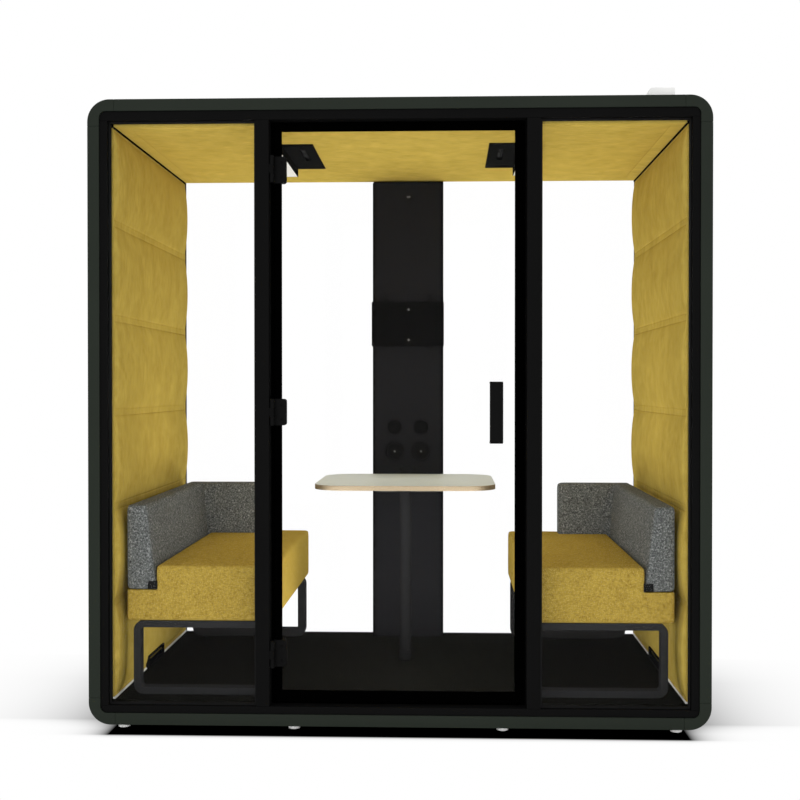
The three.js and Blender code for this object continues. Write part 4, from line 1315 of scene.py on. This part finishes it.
class POD_OT_wall_pads(PodOperator):
    """Wall pads with sewn channels, and the low vents in them"""

    bl_idname = "pod.wall_pads"
    bl_label = "Wall pads"

    def build(self, sizes, scene):
        low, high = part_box("wall_pad_left")
        wide, tall = high.y - low.y, high.z - low.z
        pitch = tall / sizes.channels
        half = sizes.strip / 2
        margin = sizes.margin
        ends = [0, half * 0.55, half - 0.002, half, half + 0.002, half + 0.007, half + 0.015, half + 0.027]
        rows = [0.0]
        for channel in range(sizes.channels):
            rows += [channel * pitch + place for place in spread(pitch, ends, 0.022)[1:]]
        sides = [0, margin * 0.5, margin - 0.002, margin, margin + 0.002, margin + 0.007, margin + 0.015]
        columns = spread(wide, sides + [margin + 0.027], 0.026)
        fields = []
        for channel in range(sizes.channels):
            start = channel * pitch
            fields.append(((margin, start + half), (wide - margin, start + pitch - half)))
        crown, end = sizes.pillow_crown, sizes.pillow_end
        mesh = sewn_pad(columns, rows, fields, sizes.pillow_corner, crown, sizes.seam, 4.0, 0.72, end)
        face = low.x + sizes.pad_depth
        backed(mesh, face - low.x)
        turn = Matrix(((0, 0, 1, face), (1, 0, 0, low.y), (0, 1, 0, low.z), (0, 0, 0, 1)))
        mesh.transform(turn)
        other = mirrored(mesh, "wall_upholstery_right")
        for word, each in (("left", mesh), ("right", other)):
            made = adopt(
                "wall_upholstery_" + word,
                cloth_map(each),
                ("lining_wool",),
                replaces=("wall_pad_" + word,),
                slot="wall_fabric",
                even=False,
            )
        for word, side in SIDES:
            self.vent(word, side, abs(face))

    @staticmethod
    def vent(word, side, face):
        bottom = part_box("carpet_floor")[1].z + 0.004
        top = bottom + 0.050
        front, back = -0.149, 0.116
        x0, x1 = sorted((side * (face - 0.016), side * face))
        ring = hollow(block((x0, front, bottom), (x1, back, top)), X, 0.007)
        parts = [softened(ring, 0.0012)]
        slats = 4
        step = (top - bottom - 0.014) / slats
        for slat in range(slats):
            height = bottom + 0.007 + (slat + 0.5) * step
            blade = block((-0.006, front + 0.004, -0.0009), (0.006, back - 0.004, 0.0009))
            bmesh.ops.rotate(blade, cent=(0, 0, 0), matrix=Matrix.Rotation(side * 0.7, 3, "Y"), verts=blade.verts)
            bmesh.ops.translate(blade, vec=(side * (face - 0.009), 0, height), verts=blade.verts)
            parts.append(blade)
        inner = sorted((side * (face - 0.003), side * (face - 0.001)))
        parts.append(block((inner[0], front + 0.003, bottom + 0.003), (inner[1], back - 0.003, top - 0.003)))
        piece("wall_vent_" + word, joined(parts), "matt_plastic", slot="outlet")


class POD_OT_ceiling(PodOperator):
    """Ceiling pad with its two openings, and the dark strips where it meets the walls"""

    bl_idname = "pod.ceiling"
    bl_label = "Ceiling pad"

    def build(self, sizes, scene):
        low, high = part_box("ceiling_pad")
        wide, deep = high.x - low.x, high.y - low.y
        border, margin = sizes.ceiling_border, 0.030
        near = [-0.002, 0.0, 0.002, 0.008, 0.020]
        columns = spread(wide, [0, border * 0.5] + [border + offset for offset in near], 0.030)
        rows = spread(deep, [0, margin * 0.5] + [margin + offset for offset in near], 0.030)
        openings = []
        for word, side in SIDES:
            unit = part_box("ceiling_unit_" + word)
            spare = 0.0006
            openings.append(
                (
                    (unit[0].x - spare - low.x, unit[0].y - spare - low.y),
                    (unit[1].x + spare - low.x, unit[1].y + spare - low.y),
                )
            )
        field = ((border, margin), (wide - border, deep - margin))
        mesh = sewn_pad(columns, rows, [field], 0.05, sizes.ceiling_crown, sizes.seam, 1.2, 0.4)
        face = low.z + sizes.ceiling_crown
        backed(opened(mesh, openings), high.z - face)
        mesh.transform(Matrix(((1, 0, 0, low.x), (0, 1, 0, low.y), (0, 0, -1, face), (0, 0, 0, 1))))
        mesh.flip_normals()
        made = adopt(
            "ceiling_upholstery",
            cloth_map(mesh),
            ("ceiling_wool",),
            replaces=("ceiling_pad",),
            slot="wall_fabric",
            even=False,
        )
        for word, side in SIDES:
            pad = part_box("wall_pad_" + word)
            edge = pad[1].x - sizes.pad_depth if side > 0 else pad[0].x + sizes.pad_depth
            x0, x1 = sorted((edge - side * 0.005, edge + side * 0.004))
            strip = block((x0, pad[0].y + 0.001, pad[1].z - 0.0060), (x1, pad[1].y - 0.001, pad[1].z))
            x0, x1 = sorted((edge - side * 0.003, edge + side * 0.010))
            tip = block((x0, pad[0].y - 0.0002, pad[1].z - 0.0045), (x1, pad[0].y + 0.003, pad[1].z + 0.0100))
            parts = [softened(strip, 0.001), softened(tip, 0.001)]
            piece("corner_strip_" + word, joined(parts), "door_rubber", slot="frame")


class POD_OT_ceiling_units(PodOperator):
    """Ceiling units with their lamp covers and fan rotors"""

    bl_idname = "pod.ceiling_units"
    bl_label = "Ceiling units"

    def build(self, sizes, scene):
        for word, side in SIDES:
            keep("matt_plastic", "ceiling_unit_" + word)
            keep("opal", "lamp_diffuser_" + word)
            keep("rubber", "fan_rotor_" + word)


class POD_OT_column(PodOperator):
    """Media column with its screen plate, outlets, buttons and sensor"""

    bl_idname = "pod.column"
    bl_label = "Media column"

    def build(self, sizes, scene):
        keep("column_coat", "media_column")
        keep("plate_plastic", "screen_plate")
        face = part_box("media_column")[0].y
        for word, side in SIDES:
            for size, boss in (("large", 0.0032), ("small", 0.0)):
                self.outlet(size, word, face, boss)
            self.button(word)
        plate_low, plate_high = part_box("screen_plate")
        heads = []
        for height in (1.589, 1.451):
            heads.append(screw((0.004, plate_low.y, height), (0, -1, 0), 0.0042))
        piece("plate_screws", joined(heads), "bright_steel", slot="screen_plate")
        hooks = []
        for middle in (-0.104, 0.100):
            wide, bar, tall = 0.010, 0.0055, 0.021
            foot = plate_high.z + 0.0003
            outline = [
                (middle - wide, foot),
                (middle - wide, foot + tall, 0.004),
                (middle + wide, foot + tall, 0.004),
                (middle + wide, foot),
                (middle + wide - bar, foot),
                (middle + wide - bar, foot + tall - bar),
                (middle - wide + bar, foot + tall - bar),
                (middle - wide + bar, foot),
            ]
            hooks.append(softened(prism(outline, Y, face - 0.004, face - 0.0003, 4), 0.0006))
        piece("plate_hooks", joined(hooks), "door_rubber", slot="screen_plate")
        self.sensor(face)
        self.rear_cover()

    @staticmethod
    def outlet(size, word, face, boss):
        node = "%s_outlet_%s" % (size, word)
        low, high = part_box(node)
        radius = (high.x - low.x) / 2
        centre = ((low.x + high.x) / 2, face, (low.z + high.z) / 2)
        flange = face - low.y
        body = radius - 0.0062
        back = high.y - face - 0.0005
        rim, dish = radius * 0.10, radius * 0.09
        floor = flange - dish
        profile = [
            (0, -back),
            (body, -back),
            (body, 0.0004),
            (radius, 0.0004),
            (radius, flange - 0.0012),
            (radius - 0.0004, flange - 0.0004),
            (radius - 0.0014, flange),
            (radius - rim, flange),
            (radius - rim - 0.0008, flange - 0.0004),
            (radius - rim - dish * 0.6, floor + 0.0006),
            (radius - rim - dish * 0.9, floor),
            (radius * 0.55, floor - 0.0002),
            (radius * 0.52, floor - 0.0010),
            (radius * 0.49, floor - 0.0002),
            (0, floor),
        ]
        ring = rimmed(spun(profile, centre, (0, -1, 0), 64), centre, radius * 0.80, 3)
        parts = [rimmed(ring, centre, radius * 0.88, 2)]
        if boss:
            cap = [(0, floor - 0.001), (boss, floor - 0.001), (boss, floor + 0.0012)]
            cap += [(boss * 0.8, floor + 0.0020), (boss * 0.4, floor + 0.0024), (0, floor + 0.0025)]
            parts.append(painted(spun(cap, centre, (0, -1, 0), 32), 1))
        piece(
            "%s_round_outlet_%s" % (size, word),
            joined(parts),
            "satin_black",
            "bright_steel",
            "door_rubber",
            "glossy_black",
            replaces=(node,),
            slot="outlet",
        )

    @staticmethod
    def button(word):
        node = "push_button_" + word
        low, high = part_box(node)
        radius = (high.x - low.x) / 2
        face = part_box("media_column")[0].y
        centre = ((low.x + high.x) / 2, face, (low.z + high.z) / 2)
        top = face - low.y
        stem = high.y - face
        profile = [
            (0, -stem),
            (0.0066, -stem),
            (0.0066, 0.0034),
            (radius - 0.0006, 0.0034),
            (radius, 0.0040),
            (radius, top - 0.0036),
            (radius - 0.0005, top - 0.0026),
            (radius - 0.0016, top - 0.0019),
            (radius * 0.70, top - 0.0011),
            (radius * 0.40, top - 0.0003),
            (0, top),
        ]
        made = rimmed(spun(profile, centre, (0, -1, 0), 40), centre, radius * 0.85, 1)
        finishes = ("black_plastic", "door_rubber")
        piece("round_button_" + word, made, *finishes, body="button_" + word, replaces=(node,), slot="button")

    @staticmethod
    def sensor(face):
        centre = Vector((0.003, face, 2.103))
        ring = [(0, 0), (0.013, 0), (0.013, 0.0012), (0.0122, 0.0022), (0.0100, 0.0028), (0.0094, 0.0016), (0, 0.0014)]
        parts = [spun(ring, centre, (0, -1, 0), 40)]
        lens = [(0, 0.0010), (0.0026, 0.0010), (0.0024, 0.0020), (0.0014, 0.0027), (0, 0.0030)]
        for shift in (-0.0045, 0.0045):
            parts.append(painted(spun(lens, centre + Vector((shift, 0, 0)), (0, -1, 0), 24), 1))
        piece("sensor", joined(parts), "black_plastic", "bright_steel", slot="outlet")

    @staticmethod
    def rear_cover():
        low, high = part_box("media_column")
        heads = []
        for height in (low.z + 0.09, (low.z + high.z) / 2, high.z - 0.09):
            for side in (-1, 1):
                heads.append(screw((side * (high.x - 0.022), high.y, height), (0, 1, 0), 0.0045))
        piece("rear_cover_screws", joined(heads), "bright_steel", slot="column")


class POD_OT_table(PodOperator):
    """Table top with laminate faces and a plywood edge, its leg and its rear bracket"""

    bl_idname = "pod.table"
    bl_label = "Table"

    def build(self, sizes, scene):
        low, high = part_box("table_top")
        made = prism(plate(low.x, high.x, low.y, high.y, sizes.table_corner), Z, low.z, high.z, 24)
        softened(made, 0.0015, 3)
        made.normal_update()
        for face in made.faces:
            face.material_index = 0 if abs(face.normal.z) > 0.9 else 1
        piece("table_board", made, "table_laminate", "plywood_edge", replaces=("table_top",), slot="table_board")

        low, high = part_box("table_leg")
        centre = ((low.x + high.x) / 2, (low.y + high.y) / 2, 0)
        plate_radius = (high.x - low.x) / 2
        tube = sizes.table_leg
        collar = tube + 0.003
        profile = [
            (0, low.z),
            (collar - 0.009, low.z),
            (collar - 0.0045, low.z + 0.0012),
            (collar - 0.0012, low.z + 0.0045),
            (collar, low.z + 0.009),
            (collar, low.z + 0.041),
            (collar - 0.0008, low.z + 0.0436),
            (tube, low.z + 0.045),
            (tube, high.z - 0.012),
            (tube + 0.0018, high.z - 0.0078),
            (tube + 0.006, high.z - 0.006),
            (plate_radius - 0.0008, high.z - 0.006),
            (plate_radius, high.z - 0.0052),
            (plate_radius, high.z),
            (0, high.z),
        ]
        parts = [spun(profile, centre, (0, 0, 1), 72)]
        for turn in range(4):
            angle = math.pi / 4 + turn * math.pi / 2
            spot = (centre[0] + 0.055 * math.cos(angle), centre[1] + 0.055 * math.sin(angle), high.z - 0.006)
            parts.append(painted(screw(spot, (0, 0, -1), 0.0052), 1))
        piece("table_post", joined(parts), "post_coat", "bright_steel", replaces=("table_leg",), slot="steel")

        low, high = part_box("table_bracket")
        thick = 0.005
        outline = [
            (high.y, high.z),
            (low.y, high.z),
            (low.y, high.z - thick),
            (high.y - thick, high.z - thick, thick),
            (high.y - thick, low.z),
            (high.y, low.z),
        ]
        parts = [softened(prism(outline, X, low.x, high.x, 6), 0.0008)]
        for spot in (-0.1, 0.1):
            parts.append(painted(screw((spot, low.y + 0.028, high.z - thick), (0, 0, -1), 0.0052), 1))
            parts.append(painted(screw((spot, high.y - thick, low.z + 0.028), (0, -1, 0), 0.0052), 1))
        piece("table_angle", joined(parts), "bench_coat", "bright_steel", replaces=("table_bracket",), slot="steel")


class POD_OT_bench_frames(PodOperator):
    """Bench frames: two loops of flat bar with two rails between them"""

    bl_idname = "pod.bench_frames"
    bl_label = "Bench frames"

    def build(self, sizes, scene):
        for word, side in SIDES:
            node = "bench_frame_" + word
            low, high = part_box(node)
            depth = 0.052
            parts = []
            for front, bar in ((low.y, sizes.bench_bar), (high.y - depth, sizes.bench_bar * 1.35)):
                outline = plate(low.x, high.x, low.z, high.z, sizes.bench_corner)
                loop = hollow(prism(outline, Y, front, front + depth, 10), Y, bar)
                parts.append(softened(loop, 0.002, 3))
            for start in (low.x + 0.060, high.x - 0.100):
                rail = block(
                    (start, low.y + depth - 0.0005, high.z - sizes.bench_bar),
                    (start + 0.040, high.y - depth + 0.0005, high.z - 0.0002),
                )
                parts.append(softened(rail, 0.0015))
            piece("bench_base_" + word, joined(parts), "bench_coat", replaces=(node,), slot="steel")


class POD_OT_cushions(PodOperator):
    """Seat cushions and L-shaped backrests with seams along their edges and a small blank tag"""

    bl_idname = "pod.cushions"
    bl_label = "Seats and backrests"

    def build(self, sizes, scene):
        seat_low, seat_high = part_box("seat_right")
        back_low, back_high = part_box("backrest_right")
        thick = sizes.backrest_foot
        inner = back_high.x - thick
        front = back_high.y - thick
        seat = self.seat(sizes, seat_low, seat_high, back_low, inner, front)
        back = self.backrest(sizes, back_low, back_high, inner, front)
        edge = seat_high.z - sizes.seat_crown
        line = seat_low.y
        seat_seams = [
            [(seat_low.x, seat_high.y, edge), (seat_low.x, line, edge), (inner, line, edge)],
            [(seat_low.x, line, edge), (seat_low.x, line, seat_low.z)],
        ]
        top = back_high.x - sizes.backrest_head
        back_seams = [
            [(inner, line, back_low.z), (top, line, back_high.z), (back_high.x, line, back_high.z)],
            [(back_high.x, line, back_high.z), (back_high.x, line, back_low.z)],
            [(back_low.x, front, back_low.z), (back_low.x, back_high.y - sizes.backrest_head, back_high.z)],
        ]
        for word, side in SIDES:
            seat_mesh = seat if side > 0 else mirrored(seat, "seat_cushion_left")
            back_mesh = back if side > 0 else mirrored(back, "backrest_cushion_left")
            made = adopt(
                "seat_cushion_" + word,
                cloth_map(seat_mesh),
                ("seat_weave",),
                replaces=("seat_" + word,),
                slot="seat_fabric",
                sharp=0,
                even=False,
            )
            made = adopt(
                "backrest_cushion_" + word,
                cloth_map(back_mesh),
                ("melange_felt",),
                replaces=("backrest_" + word,),
                slot="felt",
                sharp=0,
                even=False,
            )
            self.seams("seat_seam_" + word, seat_mesh, seat_seams, side, "seat_weave", "seat_fabric", sizes)
            self.seams("backrest_seam_" + word, back_mesh, back_seams, side, "melange_felt", "felt", sizes)
            self.tag(word, side, inner)

    @staticmethod
    def seat(sizes, low, high, back_low, inner, front):
        columns = near_edges(low.x, back_low.x, 0.024)
        columns += near_edges(back_low.x, inner, 0.024)[1:] + near_edges(inner, high.x, 0.024)[1:]
        rows = near_edges(low.y, front, 0.025) + near_edges(front, high.y, 0.024)[1:]

        def open_top(place):
            return place.x < back_low.x or (place.x < inner and place.y < front)

        levels = (low.z, back_low.z - 0.0004, high.z - sizes.seat_crown)
        made = stepped_block(columns, rows, levels, open_top)

        def resting(normal, place):
            notch = place.x > back_low.x - 0.001 and place.y > front - 0.001
            return normal.z < -0.5 or normal.x > 0.5 or normal.y > 0.5 or notch

        upper = Vector((inner, high.y, levels[-1]))
        lower = Vector((high.x, high.y, levels[-1]))

        def soft(place):
            return eased(place, low, upper if place.z > levels[1] + 0.001 else lower, sizes.seat_edge)

        return cushion(made, sizes.seat_crown, 3.0, resting, soft, Vector.copy)

    @staticmethod
    def backrest(sizes, low, high, inner, front):
        columns = near_edges(low.x, inner, 0.024) + near_edges(inner, high.x, 0.024)[1:]
        rows = near_edges(low.y, front, 0.025) + near_edges(front, high.y, 0.024)[1:]
        made = stepped_block(columns, rows, (low.z, high.z), None, lambda place: place.x > inner or place.y > front)
        lean = sizes.backrest_head / sizes.backrest_foot

        def leant(depth, share, foot, whole):
            head = foot * (1 - share * (1 - lean))
            if depth <= foot:
                return depth * head / foot
            return head + (depth - foot) * (whole - head) / (whole - foot)

        def lean_back(place):
            share = (place.z - low.z) / (high.z - low.z)
            across = high.x - leant(high.x - place.x, share, high.x - inner, high.x - low.x)
            along = high.y - leant(high.y - place.y, share, high.y - front, high.y - low.y)
            return Vector((across, along, place.z))

        def resting(normal, place):
            return normal.z < -0.5 or normal.x > 0.5 or normal.y > 0.5

        def soft(place):
            start = low.copy()
            if place.y < front - 0.001:
                start.x = inner
            elif place.x < inner - 0.001:
                start.y = front
            return eased(place, start, high, sizes.backrest_edge)

        return cushion(made, sizes.backrest_crown, 3.0, resting, soft, lean_back)

    @staticmethod
    def seams(name, surface, paths, side, thread, slot, sizes):
        turned = [[(side * x, y, z) for x, y, z in path] for path in paths]
        welt(name, surface, turned, sizes.welt, finishes=(thread,), slot=slot)

    @staticmethod
    def tag(word, side, inner):
        low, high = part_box("backrest_right")
        x0, x1 = sorted((side * (inner - 0.004), side * (inner + 0.031)))
        bottom = low.z + 0.003
        made = block((x0, low.y - 0.0024, bottom), (x1, low.y + 0.006, bottom + 0.030))
        piece("blank_tag_" + word, softened(made, 0.0009), "rubber", slot="felt")


class POD_OT_roof_box(PodOperator):
    """Junction box on the roof"""

    bl_idname = "pod.roof_box"
    bl_label = "Roof box"

    def build(self, sizes, scene):
        low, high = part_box("roof_box")
        slant, corner, split = 0.016, 0.004, 0.012
        outline = [
            (low.x, low.z),
            (high.x, low.z),
            (high.x, high.z, corner),
            (low.x + slant, high.z, corner),
        ]
        made = softened(prism(outline, Y, low.y, high.y, 6), 0.002, 3)
        seam = low.z + split
        whole = list(made.verts) + list(made.edges) + list(made.faces)
        cut = bmesh.ops.bisect_plane(made, geom=whole, plane_co=(0, 0, seam), plane_no=(0, 0, 1), dist=1e-6)
        ring = [item for item in cut["geom_cut"] if isinstance(item, bmesh.types.BMEdge)]
        rounded(made, ring, 0.0012, 2)
        piece("junction_box", made, "pale_plastic", replaces=("roof_box",), slot="roof_box")


OPERATORS = (
    POD_OT_stage,
    POD_OT_shell,
    POD_OT_feet,
    POD_OT_frames,
    POD_OT_glass,
    POD_OT_door,
    POD_OT_floor,
    POD_OT_wall_pads,
    POD_OT_ceiling,
    POD_OT_ceiling_units,
    POD_OT_column,
    POD_OT_table,
    POD_OT_bench_frames,
    POD_OT_cushions,
    POD_OT_roof_box,
)


class POD_PT_pieces(bpy.types.Panel):
    """The operators, in the order in which they build the pod"""

    bl_label = "Acoustic pod"
    bl_idname = "POD_PT_pieces"
    bl_space_type = "VIEW_3D"
    bl_region_type = "UI"
    bl_category = "Pod"

    def draw(self, context):
        for operator in OPERATORS:
            self.layout.operator(operator.bl_idname)


GROUPS = (("pod_sizes", PodSizes), ("pod_colours", PodColours), ("pod_stage", PodStage))


def register():
    for name, group in GROUPS:
        bpy.utils.register_class(group)
        setattr(bpy.types.Scene, name, PointerProperty(type=group))
    for each in (*OPERATORS, POD_PT_pieces):
        bpy.utils.register_class(each)


def unregister():
    for each in reversed((*OPERATORS, POD_PT_pieces)):
        bpy.utils.unregister_class(each)
    for name, group in reversed(GROUPS):
        delattr(bpy.types.Scene, name)
        bpy.utils.unregister_class(group)


def main():
    register()
    for operator in OPERATORS:
        family, word = operator.bl_idname.split(".")
        getattr(getattr(bpy.ops, family), word)()


if __name__ == "__main__":
    main()
